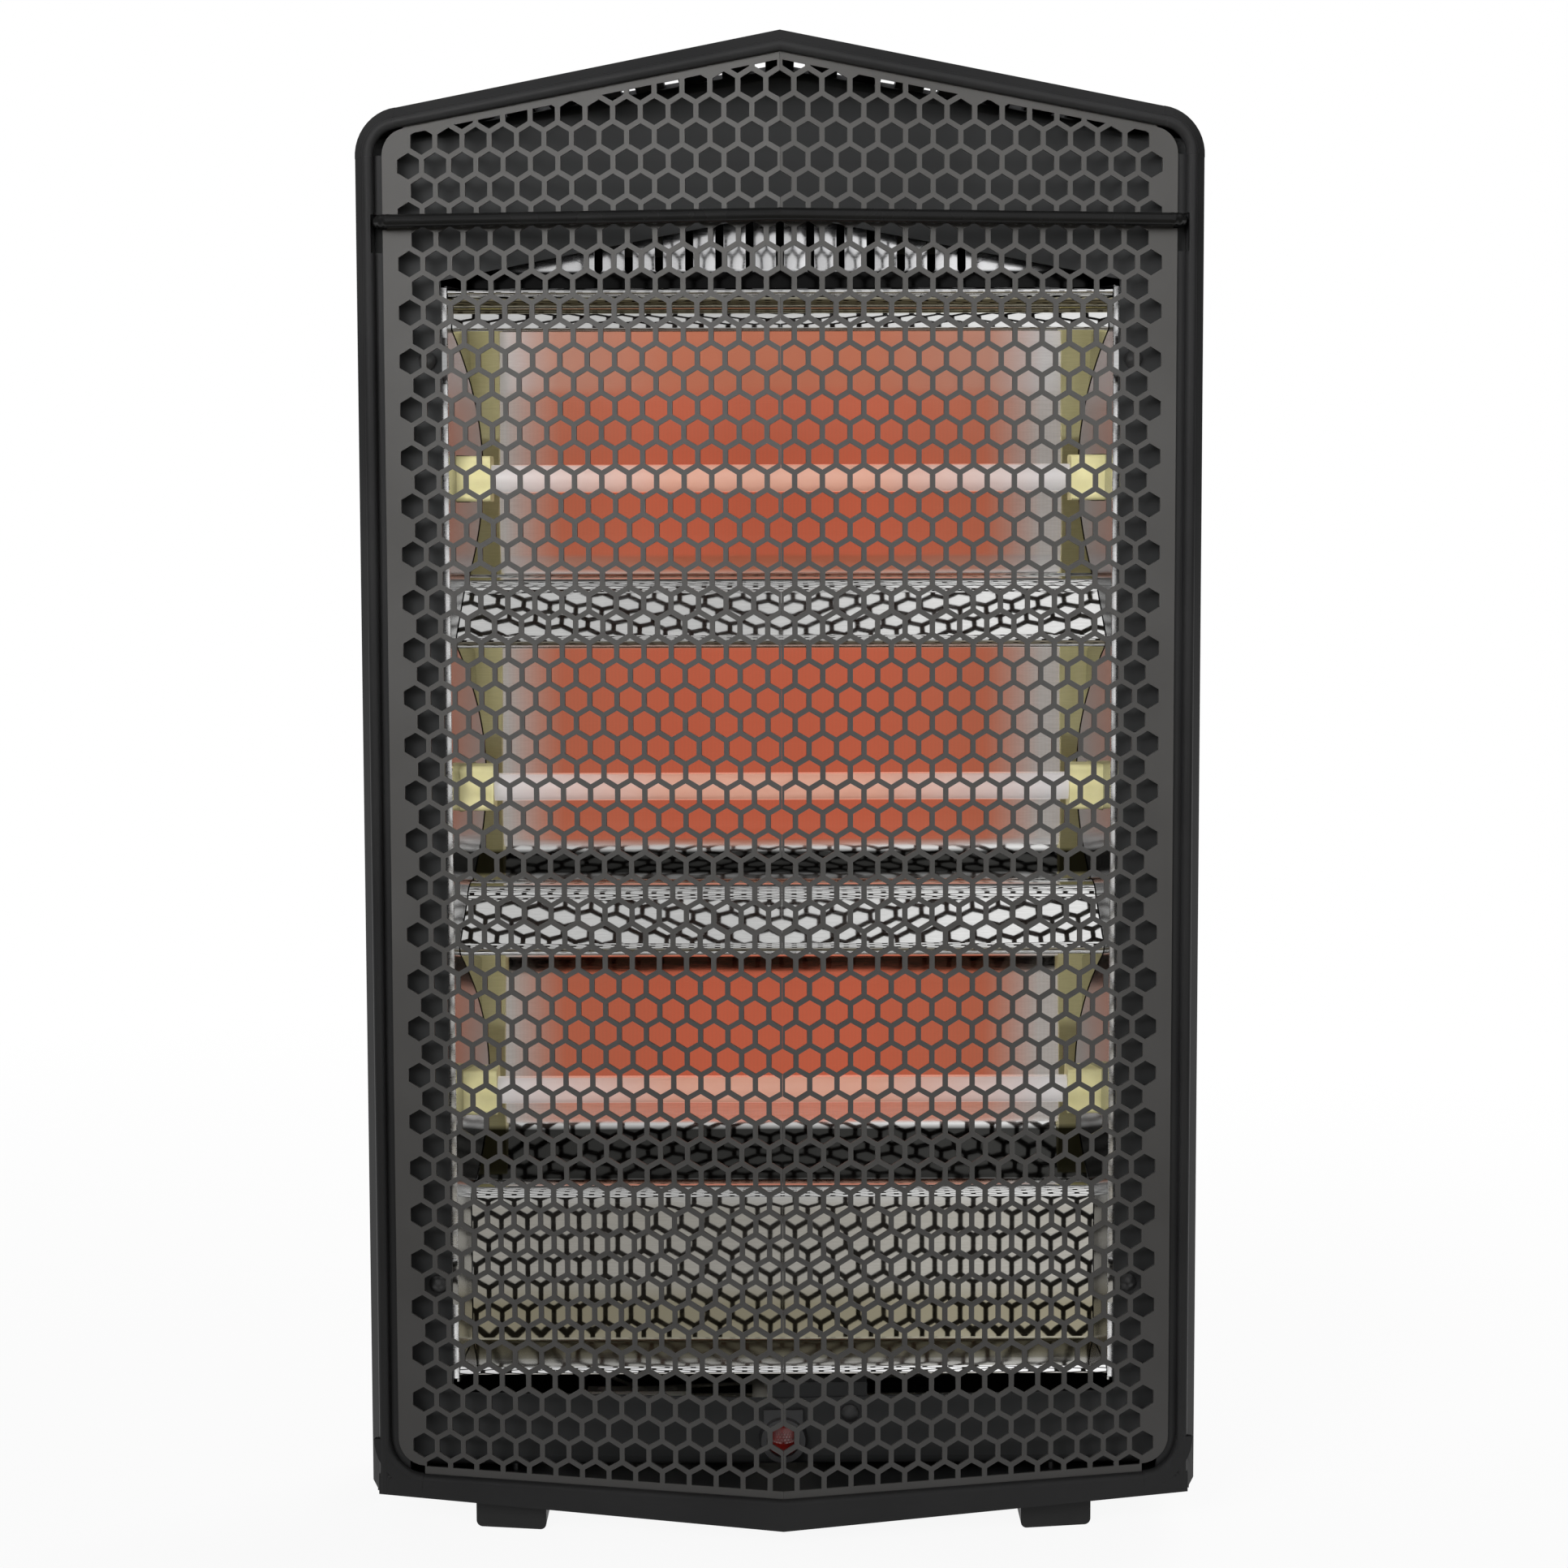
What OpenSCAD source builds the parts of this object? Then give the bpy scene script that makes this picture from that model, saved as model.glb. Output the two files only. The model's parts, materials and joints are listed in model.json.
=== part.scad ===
// Quartz heater: a gabled floor heater with a folded hexagon grille, three quartz tubes
// in a troughed reflector and a closed rear housing.
// Front is -Y, up is +Z and the feet stand on Z = 0. Names that end in _v are distances
// back from the fold line of the grille.

/* [Overall] */
// Width over the front frame
overall_w = 330; // [316:1:344]
// Height of the gable peak above the floor
overall_h = 590; // [578:1:604]
// Rear wall of the housing, back from the fold line
housing_v = 165; // [158:1:180]
// Angle that each half of the front is folded back
fold_angle = 9.7; // [8.5:0.1:10.5]
// Slope of the gable
gable_angle = 9.7; // [8.5:0.1:10.5]

/* [Front frame] */
// Radius of the upper corners of the frame
eave_r = 18.5; // [15:0.5:24]
// Width of the slanted flank outside the bead
flank_w = 4; // [3:0.1:5]
// Width of the raised bead
bead_w = 4.4; // [3.6:0.1:6]
// Height of the bead in front of the grille sheet
bead_proud = 3; // [2:0.1:4]
// Depth of the frame behind the front of the sheet
frame_depth = 7; // [6:0.1:9]
// Wall of the frame
frame_wall = 2.2; // [1.8:0.1:2.8]
// Gap between the bead and the side edge of the sheet
groove_w = 3.2; // [2.4:0.1:4]
// Width of the side ledge behind the sheet
ledge_w = 4.4; // [3:0.1:5]
// Height of the chin at the fold
chin_h = 12.4; // [10:0.1:15]
// Height of the keel, the lowest point of the chin, above the floor
keel_z = 9; // [7:0.1:11]
// Slope of the bottom edge of the chin
chin_angle = 2.5; // [2:0.1:3]
// Slope of the top edge of the chin
lip_angle = 1.3; // [0.8:0.1:1.8]
// Radius between the bead and the chin
chin_corner_r = 14; // [11:0.5:18]

/* [Front grille] */
// Distance between neighbouring holes
hex_pitch = 10.8; // [10:0.1:12]
// Width of the bars between holes
hex_bar = 2; // [1.6:0.1:2.8]
// Thickness of the grille sheet
sheet_t = 1; // [0.8:0.1:1.4]
// Gable peak above the row that has a hole on the fold line
hex_ref_drop = 151.6; // [147:0.1:156]
// Least distance from the middle of a hole to the side edge of the sheet
hole_side_border = 8; // [6:0.1:10]
// Plain border between the bead and the uppermost holes
hole_border = 2.9; // [2:0.1:4]

/* [Guard wire] */
// Diameter of the guard wire
wire_d = 5.2; // [4:0.1:6]
// Gap between the wire and the front of the sheet
wire_gap = 2.6; // [2:0.1:4]
// Gable peak above the wire
wire_drop = 70; // [60:1:85]
// Bend radius at the ends of the wire
wire_bend_r = 6; // [5:0.5:8]

/* [Inner panel] */
// Front of the inner panel behind the side edges of the folded front
panel_set = 4.8; // [4:0.1:8]
// Thickness of the inner panel
panel_t = 1; // [0.8:0.1:1.5]
// Distance from the opening in the inner panel to the side of the frame
opening_margin = 32.5; // [30:0.5:34]
// Lower edge of the opening at the middle
opening_low_z = 52.5; // [50:0.5:55]
// Gable peak above the upper corners of the opening
opening_side_drop = 92; // [88:0.5:93]
// Gable peak above the peak of the opening
opening_peak_drop = 66; // [60:1:75]
// Radius of the rolled top and bottom edges
panel_roll_r = 4; // [3:0.5:5]

/* [Reflector] */
// How far the upper edge of a trough lies in front of its back
trough_up_set = 33.6; // [31:0.1:36]
// How far the lower edge of a trough lies in front of its back
trough_low_set = 22.6; // [20:0.1:25]
// Depth of the troughs behind the rims
trough_depth = 38.6; // [36:0.1:42]
// Height of a trough's axis above its tube
trough_rise = 3.3; // [2:0.1:5]
// Height of the ridges between troughs
ridge_h = 19.9; // [17:0.1:22]
// How much further a trough reaches above its tube than below it
trough_offset = 13.1; // [12:0.1:14]
// Thickness of the reflector sheet
reflector_t = 0.8; // [0.6:0.1:1.2]
// Gap between the reflector's rims and the sides of the opening
rim_gap = 2; // [2:0.1:5.5]
// Depth of the rims behind the front of the panel
rim_set = 3; // [2.5:0.1:5]
// How far each end of the reflector leans in from its rim to the back of the troughs
end_flare = 10; // [7.5:0.5:12.5]
// Gap between the upper rim and the upper corners of the opening
rim_top_gap = 2; // [1:0.5:4]
// Gap between the lower rim and the lower edge of the opening
rim_low_gap = 6.5; // [4.5:0.5:9.5]

/* [Tubes] */
// Upper edge of the reflector above the top tube
tube_top_gap = 74.9; // [73:0.1:78]
// Bottom tube above the lower edge of the reflector
apron_h = 115.7; // [112:0.1:119]
// Depth of the tubes behind the rims
tube_set = 17.7; // [17:0.1:20]
// Outer diameter of the tubes
tube_d = 11; // [9:0.1:12]
// Wall of the tubes
tube_wall = 1; // [0.8:0.1:1.2]
// Diameter of the heating coil over the wire
coil_d = 8.2; // [6:0.1:8.4]
// Diameter of the heating wire
coil_wire_d = 1.5; // [1:0.1:1.8]
// Distance from the caps to the wound part of a coil
coil_margin = 17; // [13:0.5:25]
// Curls of each coil
coil_curls = 15; // [12:1:16]
// Side of the ceramic caps
cap_side = 18; // [16:0.5:20]
// Length of the ceramic caps
cap_l = 24; // [20:0.5:26]
// Inner face of a cap inside the end of the troughs
cap_reach = 5.5; // [4.5:0.5:9.5]

/* [Housing] */
// Wall of the housing
housing_wall = 2.2; // [1.8:0.1:2.8]
// Radius of the upright rear edges of the housing
housing_rear_r = 38; // [28:1:44]
// Gable peak above the lower edge of the sloped facet of the rear
facet_drop = 85; // [80:1:95]
// Tilt of the sloped facet from upright
facet_tilt = 30; // [26:1:34]
// Distance between top vent slots
top_vent_pitch = 17.4; // [16:0.1:19]
// Width of a top vent slot
top_vent_w = 6; // [4:0.5:8]
// Length of a top vent slot
top_vent_l = 52; // [40:1:56]
// Distance between rear vent slots
rear_vent_pitch = 13; // [11:0.5:15]
// Height of a rear vent slot
rear_vent_h = 4; // [3:0.5:5]
// Length of a rear vent slot
rear_vent_l = 78; // [60:1:84]
// Rows of rear vent slots
rear_vent_rows = 14; // [10:1:15]

/* [Base] */
// Underside of the base plate, and the height of the feet
base_z = 14.5; // [13:0.1:16]
// Thickness of the base plate
base_t = 2.2; // [1.8:0.1:3]
// Width of a foot rail
foot_w = 28.5; // [24:0.5:32]
// Middle of a foot rail from the side of the frame
foot_inset = 55.3; // [51:0.1:61]
// Travel of the tip-over plunger
tip_travel = 7; // [5:0.5:8]

/* [Controls] */
// Diameter of the knobs
knob_d = 36; // [30:0.5:40]
// Height of the knobs over the facet
knob_h = 17; // [15:0.5:20]
// Distance of each knob from the middle
knob_x = 58; // [50:1:66]
// Diameter of the knob shafts
shaft_d = 6; // [5:0.1:7]
// Diameter of the indicator bezel
bezel_d = 19.7; // [18:0.1:21]
// Diameter of the indicator lens
lens_d = 13; // [11:0.1:14]
// Height of the indicator
indicator_z = 36; // [34:0.5:38]

/* [Hidden] */
$fn = 64;

// Clearances
fit_gap = 0.3; // between fixed pieces that seat in each other
seat_gap = 0.18; // between the frame and the sheet that it holds
run_gap = 0.06; // radial play of a shaft that turns or slides
screw_gap = 0.2; // radial play of a screw in its hole
joint_grow = 0.12; // joints of bent wires are a hair larger than the wire
eave_grow = 0.12; // so are the frame's upper corners

// Directions of the folded halves and of the gable
fold_c = cos(fold_angle);
fold_s = sin(fold_angle);
fold_t = tan(fold_angle);
gable_c = cos(gable_angle);
gable_s = sin(gable_angle);
gable_t = tan(gable_angle);
big = 900; // larger than the heater, for cutting solids

// Heights that hang from the gable peak
hex_ref_z = overall_h - hex_ref_drop;
wire_z = overall_h - wire_drop;
opening_side_z = overall_h - opening_side_drop;
opening_peak_z = overall_h - opening_peak_drop;
facet_low_z = overall_h - facet_drop;
reflector_top_z = opening_side_z - rim_top_gap;
reflector_low_z = opening_low_z + rim_low_gap;

// Depths that follow the folded front
panel_v = overall_w / 2 * fold_t + panel_set;
rim_v = panel_v + rim_set;
trough_v = rim_v + trough_depth;
tube_v = rim_v + tube_set;

// Widths that follow the frame
opening_w = overall_w - 2 * opening_margin;
rim_w = opening_w - 2 * rim_gap;
trough_w = rim_w - 2 * end_flare;
cap_span = trough_w - 2 * cap_reach;
coil_l = cap_span - 2 * coil_margin;
foot_x = overall_w / 2 - foot_inset;

// Outline of the frame along a folded half: s runs out from the fold
flank_depth = 3; // where the flank reaches the outer edge
bead_foot = 1; // depth of the bead's shoulders in front of the sheet
outer_s = (overall_w / 2 + flank_depth * fold_s) / fold_c;
bead_in = flank_w + bead_w;
eave_s = outer_s - eave_r;
eave_z = overall_h - eave_s * gable_t - eave_r / gable_c;
sheet_tuck = 2; // how far the sheet reaches under the bead
sheet_s = outer_s - bead_in - groove_w;
ledge_t = 2;
chin_proud = 2.6;
chin_depth = 12;
lip_r = 2.5;
corner_chamfer = 4;
function gable_z(s, inset) = overall_h - s * gable_t - inset / gable_c;
function chin_low(s) = keel_z + s * tan(chin_angle);
function chin_top(s) = keel_z + chin_h + s * tan(lip_angle);
corner_s = outer_s - bead_in - chin_corner_r;
corner_z = chin_top(corner_s) + chin_corner_r;

// Hexagon holes
hex_row = hex_pitch * sqrt(3) / 2;
hex_r = (hex_pitch - hex_bar) / sqrt(3);
hex_half_pitches = floor((sheet_s - hole_side_border) / (hex_pitch / 2));
hole_min = 2.2; // a clipped hole lower than this is left out

// Guard wire
wire_off = wire_gap + wire_d / 2;
wire_leg_s = sheet_s + groove_w / 2 - 0.4;
wire_leg = (panel_v - fit_gap - (wire_leg_s + wire_d / 2) * fold_s) / fold_c + wire_off - wire_bend_r; // up to the panel
slot_h = 14.6;

// Overall depth, which centres the heater on Y = 0
gland_flange_t = 4;
facet_n = [0, cos(facet_tilt), sin(facet_tilt)];
knob_z = facet_low_z + 36;
knob_v = housing_v - (knob_z - facet_low_z) * tan(facet_tilt);
knob_reach = knob_v + knob_h * facet_n[1] + knob_d / 2 * facet_n[2];
front_reach = -wire_off / fold_c - wire_d / 2 - joint_grow;
rear_reach = max(housing_v + seat_gap + gland_flange_t, knob_reach);
fold_y = -(front_reach + rear_reach) / 2;

// Housing
housing_half = overall_w / 2 - 1.2;
housing_peak = overall_h - 1.2;
housing_low = base_z;
housing_front = (frame_depth + eave_grow + seat_gap) / fold_c;
tongue_l = 3.4; // reach of the housing's tongue into the frame
inner_half = housing_half - housing_wall;
tongue_inset = housing_half + fit_gap - (outer_s - frame_wall) * fold_c + frame_depth * fold_s; // clear of the frame's wall

// Inner panel and what hangs on it
tongue_lap = 0.8; // the tongue stands this far inside the wall's inner face
panel_half = inner_half - tongue_lap - fit_gap;
panel_back = panel_v + panel_t;
panel_top_inset = 10;
panel_low_z = 25;
panel_flange = 16;
panel_screw_x = opening_w / 2 + 5.5;
panel_screw_top_z = opening_side_z - 31;
panel_screw_low_z = opening_low_z + 47.5;
panel_screw_l = 9;
clip_screw = [26.7, opening_low_z - 5.9]; // the screw of the reflector clip
panel_screw_places = concat([clip_screw],
    [for (x = [-panel_screw_x, panel_screw_x]) for (z = [panel_screw_low_z, panel_screw_top_z]) [x, z]]);
screw_d = 3;
screw_head_d = 7;
screw_head_h = 2;
screw_head_taper = 2;
opening_side_low_z = opening_low_z + 3;

// Reflector
tube_top_z = reflector_top_z - tube_top_gap;
tube_low_z = reflector_low_z + apron_h;
tube_pitch = (tube_top_z - tube_low_z) / 2;
tube_z = [for (i = [0, 1, 2]) tube_top_z - i * tube_pitch];
trough_down = (tube_pitch - ridge_h - trough_offset) / 2; // reach of a trough below its tube
trough_up = trough_down + trough_offset; // and above it
trough_f_up = pow(trough_up - trough_rise, 2) / 4 / trough_up_set; // focal length above the axis
trough_f_low = pow(trough_down + trough_rise, 2) / 4 / trough_low_set; // and below it
end_slope = (rim_w - trough_w) / 2 / (trough_v - rim_v);
rim_roll = 3.5;
function end_x(v) = rim_w / 2 - (v - rim_v) * end_slope;

// Tubes, caps and coils
cap_in = cap_span / 2;
cap_bore_l = 7;
tube_half = cap_in + cap_bore_l - fit_gap;
lead_d = 1.2;

// Heat shield
shield_half = inner_half - 14.6;
shield_v = housing_v - 67;
shield_t = 1;
shield_low_z = reflector_low_z - 13;
shield_drop = 45;
shield_top_z = overall_h - shield_drop;
shield_slots = 13;
shield_slot_pitch = 12.4;
shield_slot_w = 3.2;
shield_slot_reach = 38;
shield_slot_end = 10;
shield_slot_z = shield_top_z - shield_slot_reach;

// Base, feet and tip-over switch
base_front = (chin_depth + fit_gap) / fold_c;
base_top = base_z + base_t;
foot_back_set = 8;
foot_back_v = housing_v - foot_back_set;
foot_corner_r = 2.5;
tip_v = housing_v - 52.5;
tip_rod_d = 7;
tip_foot_d = 16;
tip_foot_t = 3;
tip_lift = 0.4; // the floor holds the plunger this far off Z = 0
tip_collar_d = 11;
tip_collar_t = 2;
tip_bore_d = 11.6;
tip_body_h = 36;
tip_bore_h = 32;
tip_collar_z = base_top + tip_travel + fit_gap;
tip_spring_low = tip_collar_z + tip_collar_t + fit_gap;
tip_spring_high = base_top + tip_bore_h - fit_gap;
tip_spring_d = 10;
tip_spring_wire = 0.9;
tip_spring_curls = 6;

// Moves what is drawn from the fold line into the heater's own frame
module at_fold() translate([0, fold_y, 0]) children();

// A folded half: x runs along the half, y is the depth behind the front of the sheet
module wing() rotate([0, 0, fold_angle]) children();

module right_half() intersection() {
    children();
    translate([0, -big / 2, -big / 2]) cube([big, big, 2 * big]);
}

module both_sides() {
    children();
    mirror([1, 0, 0]) children();
}

// A flat outline in the width and height, drawn solid between two depths
module slab(near, far) translate([0, far, 0]) rotate([90, 0, 0]) linear_extrude(far - near) children();

// Points on an arc, from one angle to another
function arc(centre, r, from, to, steps) = [for (i = [0 : steps])
    let (a = from + (to - from) * i / steps) centre + r * [cos(a), sin(a)]];

// A round bar between two points
module rod(from, to, d) {
    way = to - from;
    turn = [0, acos(way[2] / norm(way)), atan2(way[1], way[0])];
    translate(from) rotate(turn) cylinder(d = d, h = norm(way));
}

// A wire that runs straight from point to point, round at its corners
module wire_run(points, d) {
    for (i = [0 : len(points) - 2]) rod(points[i], points[i + 1], d);
    for (i = [1 : len(points) - 2]) translate(points[i]) sphere(d = d + 2 * joint_grow);
}

// Section of the frame: inset from the outer edge, and depth
frame_section = concat(
    [[0, frame_depth], [0, flank_depth]],
    [for (a = [0 : 15 : 180])
        [flank_w + bead_w / 2 * (1 - cos(a)), -bead_foot - (bead_proud - bead_foot) * sin(a)]],
    [[bead_in, -seat_gap], [bead_in - sheet_tuck - fit_gap, -seat_gap],
        [bead_in - sheet_tuck - fit_gap, sheet_t + seat_gap],
        [frame_wall, flank_depth + frame_wall / 2], [frame_wall, frame_depth]]);

// Rounded upper edge of the chin: distance below the edge, and depth
lip_section = concat([[0, -seat_gap]],
    [for (a = [0 : 15 : 90]) [lip_r * (1 - cos(a)), -seat_gap - (chin_proud - seat_gap) * sin(a)]],
    [[2 * lip_r, -chin_proud], [2 * lip_r, -seat_gap]]);

module frame_side() {
    translate([outer_s, 0, chin_low(outer_s)]) linear_extrude(eave_z - chin_low(outer_s)) mirror([1, 0]) {
        polygon(frame_section);
        translate([frame_wall, sheet_t + seat_gap]) square([bead_in + groove_w + ledge_w - frame_wall, ledge_t]);
    }
}

// The corner is a hair larger than the runs that end inside it
eave_lap = 3; // degrees that the corner overlaps each run
module frame_eave() translate([eave_s, 0, eave_z]) rotate([90, 0, 0]) rotate([0, 0, -eave_lap])
    rotate_extrude(angle = 90 - gable_angle + 2 * eave_lap)
        offset(delta = eave_grow) polygon([for (p = frame_section) [eave_r - p[0], -p[1]]]);

module frame_gable() translate([eave_s + eave_r * gable_s, 0, eave_z + eave_r * gable_c])
    rotate([0, gable_angle - 90, 0]) linear_extrude(overall_w / 2 + eave_r) mirror([1, 0]) polygon(frame_section);

corner_grow = 0.3; // the rounded corner laps over the chin and the bead
module frame_chin() {
    end_s = outer_s - flank_w;
    start_s = -eave_r;
    slab(-chin_proud, -seat_gap) polygon([[start_s, chin_low(start_s)], [end_s, chin_low(end_s)],
        [end_s, chin_top(end_s) - lip_r], [start_s, chin_top(start_s) - lip_r]]);
    slab(-chin_proud, chin_depth) polygon([[start_s, chin_low(start_s)], [end_s, chin_low(end_s)],
        [end_s, chin_low(end_s) + frame_wall], [start_s, chin_low(start_s) + frame_wall]]);
    translate([start_s, 0, chin_top(start_s)]) rotate([0, 90 - lip_angle, 0])
        linear_extrude(end_s - start_s) polygon(lip_section);
    translate([corner_s, 0, corner_z]) rotate([90, 0, 0]) rotate([0, 0, lip_angle - 90])
        rotate_extrude(angle = 90 - lip_angle)
            polygon([for (p = lip_section) [chin_corner_r - corner_grow + p[0] * 1.3, -p[1] * 1.06]]);
}

// Cuts the lower outer corner of the frame at 45 degrees
module corner_cut() translate([outer_s, 0, chin_low(outer_s)]) rotate([0, 45, 0])
    cube([corner_chamfer * sqrt(2), big, corner_chamfer * sqrt(2)], center = true);

// Slots that the guard wire's ends pass through
module wire_slot() translate([wire_leg_s - wire_d / 2 - fit_gap, -chin_depth, wire_z + wire_d / 2 + fit_gap - slot_h])
    cube([wire_d + 2 * fit_gap, chin_depth + sheet_t + ledge_t + fit_gap, slot_h]);

module front_frame() color("#2f2f30") at_fold() both_sides() right_half() wing() difference() {
    union() {
        frame_side();
        frame_eave();
        frame_gable();
        frame_chin();
    }
    corner_cut();
    wire_slot();
}

// Keeps the part of an outline on one side of the line through dot(p, direction) = limit
function clip(outline, direction, limit) = [for (i = [0 : 1 : len(outline) - 1])
    let (p = outline[i], q = outline[(i + 1) % len(outline)],
        a = direction * p - limit, b = direction * q - limit)
    each concat(a <= 0 ? [p] : [], a * b < 0 ? [p + (q - p) * a / (a - b)] : [])];

function hexagon(centre) = [for (k = [0 : 5]) centre + hex_r * [sin(60 * k), cos(60 * k)]];

function height_of(outline) = max([for (p = outline) p[1]]) - min([for (p = outline) p[1]]);

// Holes of the right half, clipped along the gable and along the chin
hex_rows_up = ceil((overall_h - hex_ref_z) / hex_row);
hex_rows_down = ceil((hex_ref_z - keel_z) / hex_row);
gable_limit = overall_h * gable_c - bead_in - hole_border;
lip_limit = -(keel_z + chin_h) * cos(lip_angle) - hole_border;
hex_holes = [for (row = [-hex_rows_down : hex_rows_up])
    for (k = [abs(row) % 2 : 2 : hex_half_pitches])
        let (whole = hexagon([k * hex_pitch / 2, hex_ref_z + row * hex_row]),
            upper = clip(whole, [gable_s, gable_c], gable_limit),
            hole = len(upper) < 3 ? [] : clip(upper, [sin(lip_angle), -cos(lip_angle)], lip_limit))
        if (len(hole) > 2 && height_of(hole) > hole_min) hole];

sheet_outline = concat(
    [[-1, chin_top(-1) - sheet_tuck], [corner_s, chin_top(corner_s) - sheet_tuck]],
    arc([corner_s, corner_z], chin_corner_r - groove_w, -90, 0, 8),
    arc([eave_s - groove_w, eave_z], eave_r - bead_in, 0, 90 - gable_angle, 8),
    [[eave_s - groove_w, gable_z(eave_s - groove_w, bead_in - sheet_tuck)], [-1, gable_z(-1, bead_in - sheet_tuck)]]);

// The sheet is drawn in bands that lie a hair apart in depth, each a few rows of holes high
band_rows = 8;
band_step = 0.02;
band_count = ceil((hex_rows_down + hex_rows_up + 1) / band_rows);
function band_z(i) = hex_ref_z + (i * band_rows - hex_rows_down - 1) * hex_row;
function within(outline, low, high) = clip(clip(outline, [0, 1], high), [0, -1], -low);
function touches(outline, low, high) =
    max([for (p = outline) p[1]]) > low && min([for (p = outline) p[1]]) < high;

module grille_band(low, high) slab(0, sheet_t) difference() {
    polygon(within(sheet_outline, low, high));
    for (hole = hex_holes) if (touches(hole, low, high)) polygon(hole);
    translate([wire_leg_s - wire_d / 2 - fit_gap, wire_z - wire_d / 2 - fit_gap]) square(wire_d + 2 * fit_gap);
}

// Each half meets the other at the fold, mitred, with a hair of play
fold_gap = 0.1;
module grille_half() for (i = [0 : band_count]) if (touches(sheet_outline, band_z(i), band_z(i + 1)))
    intersection() {
        wing() translate([0, i % 2 * band_step, 0]) grille_band(band_z(i), band_z(i + 1));
        translate([fold_gap / 2, -big / 2, 0]) cube([big, big, big]);
    }

module front_grille_left() color("#3c3c3d") at_fold() mirror([1, 0, 0]) grille_half();
module front_grille_right() color("#3c3c3d") at_fold() grille_half();

// The guard wire follows the fold and hooks back through the frame's slots
wire_bends = 4; // short straight stretches stand for the round of a bend
wire_bend_step = 90 / wire_bends;
wire_bend_at = [wire_leg_s - wire_bend_r, wire_bend_r - wire_off, 0];
wire_half_points = concat([[-wire_off * fold_t, -wire_off, 0]],
    [for (k = [0.5 : 1 : wire_bends]) let (a = k * wire_bend_step - 90)
        wire_bend_at + wire_bend_r / cos(wire_bend_step / 2) * [cos(a), sin(a), 0]],
    [wire_bend_at + [wire_bend_r, wire_leg, 0]]);
module wire_joint() sphere(d = wire_d + 2 * joint_grow);
module guard_wire() color("#191919") at_fold() translate([0, 0, wire_z]) {
    translate([0, -wire_off / fold_c, 0]) rotate([0, 0, 90]) wire_joint();
    both_sides() wing() {
        for (i = [0 : wire_bends]) rod(wire_half_points[i], wire_half_points[i + 1], wire_d);
        for (k = [1 : wire_bends]) translate(wire_half_points[k]) rotate([0, 0, (k - 0.5) * wire_bend_step - 90]) wire_joint();
    }
}

// Inner panel: a flat sheet round the reflector, with rolled top and bottom edges and side flanges
roll_slope = atan(gable_t / fold_c);
roll_drop = panel_roll_r / cos(roll_slope);
panel_peak = overall_h - panel_top_inset / gable_c;
panel_eave_z = panel_peak - panel_half * tan(roll_slope);
panel_outline = [[-panel_half, panel_low_z + panel_roll_r], [panel_half, panel_low_z + panel_roll_r],
    [panel_half, panel_eave_z - roll_drop], [0, panel_peak - roll_drop], [-panel_half, panel_eave_z - roll_drop]];
opening_outline = [[-opening_w / 2, opening_side_low_z], [0, opening_low_z],
    [opening_w / 2, opening_side_low_z], [opening_w / 2, opening_side_z],
    [0, opening_peak_z], [-opening_w / 2, opening_side_z]];

// Section of a rolled edge: depth behind the panel's front, and distance in from the edge
roll_section = concat([[0, 1.5 * panel_roll_r]], arc([panel_roll_r, panel_roll_r], panel_roll_r, 180, 270, 6),
    [[panel_flange, 0], [panel_flange, panel_t]],
    arc([panel_roll_r, panel_roll_r], panel_roll_r - panel_t, 270, 180, 6), [[panel_t, 1.5 * panel_roll_r]]);
module panel_roll(from, to) translate([from, panel_v + joint_grow, 0]) rotate([90, 0, 90]) linear_extrude(to - from) polygon(roll_section);
module panel_top_roll() intersection() {
    translate([0, 0, panel_peak]) rotate([0, roll_slope, 0]) mirror([0, 0, 1]) panel_roll(-panel_flange, overall_w);
    translate([0, 0, panel_low_z]) cube([panel_half, big, big]);
}

module inner_panel_sheet() {
    slab(panel_v, panel_back) polygon(panel_outline);
    both_sides() translate([panel_half - panel_t - joint_grow, panel_v + panel_t / 2, panel_low_z + panel_roll_r])
        cube([panel_t, panel_flange - panel_t, panel_eave_z - panel_low_z - panel_roll_r - 1.2 * roll_drop]);
    translate([0, 0, panel_low_z]) panel_roll(-panel_half, panel_half);
    both_sides() panel_top_roll();
}

module inner_panel() color("#333335") at_fold() difference() {
    intersection() {
        slab(panel_v - 1, panel_v + 2 * panel_flange) polygon(housing_face(housing_wall + fit_gap));
        inner_panel_sheet();
    }
    translate([0, panel_v - panel_t, 0]) slab(0, 3 * panel_t) polygon(opening_outline);
    for (p = panel_screw_places) translate([p[0], panel_v - panel_t, p[1]]) rotate([-90, 0, 0])
        cylinder(d = screw_d + 2 * screw_gap, h = 3 * panel_t);
    translate([0, panel_v - panel_t, indicator_z]) rotate([-90, 0, 0]) cylinder(d = lens_d + 2 * fit_gap, h = 3 * panel_t);
}

// A screw that points back, with its domed head in front of the panel
module panel_screw() rotate([-90, 0, 0]) {
    translate([0, 0, -fit_gap / 3]) mirror([0, 0, 1]) intersection() {
        cylinder(d = screw_head_d, h = screw_head_d);
        translate([0, 0, -screw_head_d * 0.55]) sphere(r = screw_head_d * 0.85);
    }
    translate([0, 0, -fit_gap / 3]) cylinder(d = screw_d, h = panel_screw_l);
}

module panel_screws() color("#2a2a2a") at_fold()
    for (p = panel_screw_places) translate([p[0], panel_v, p[1]]) panel_screw();

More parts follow.
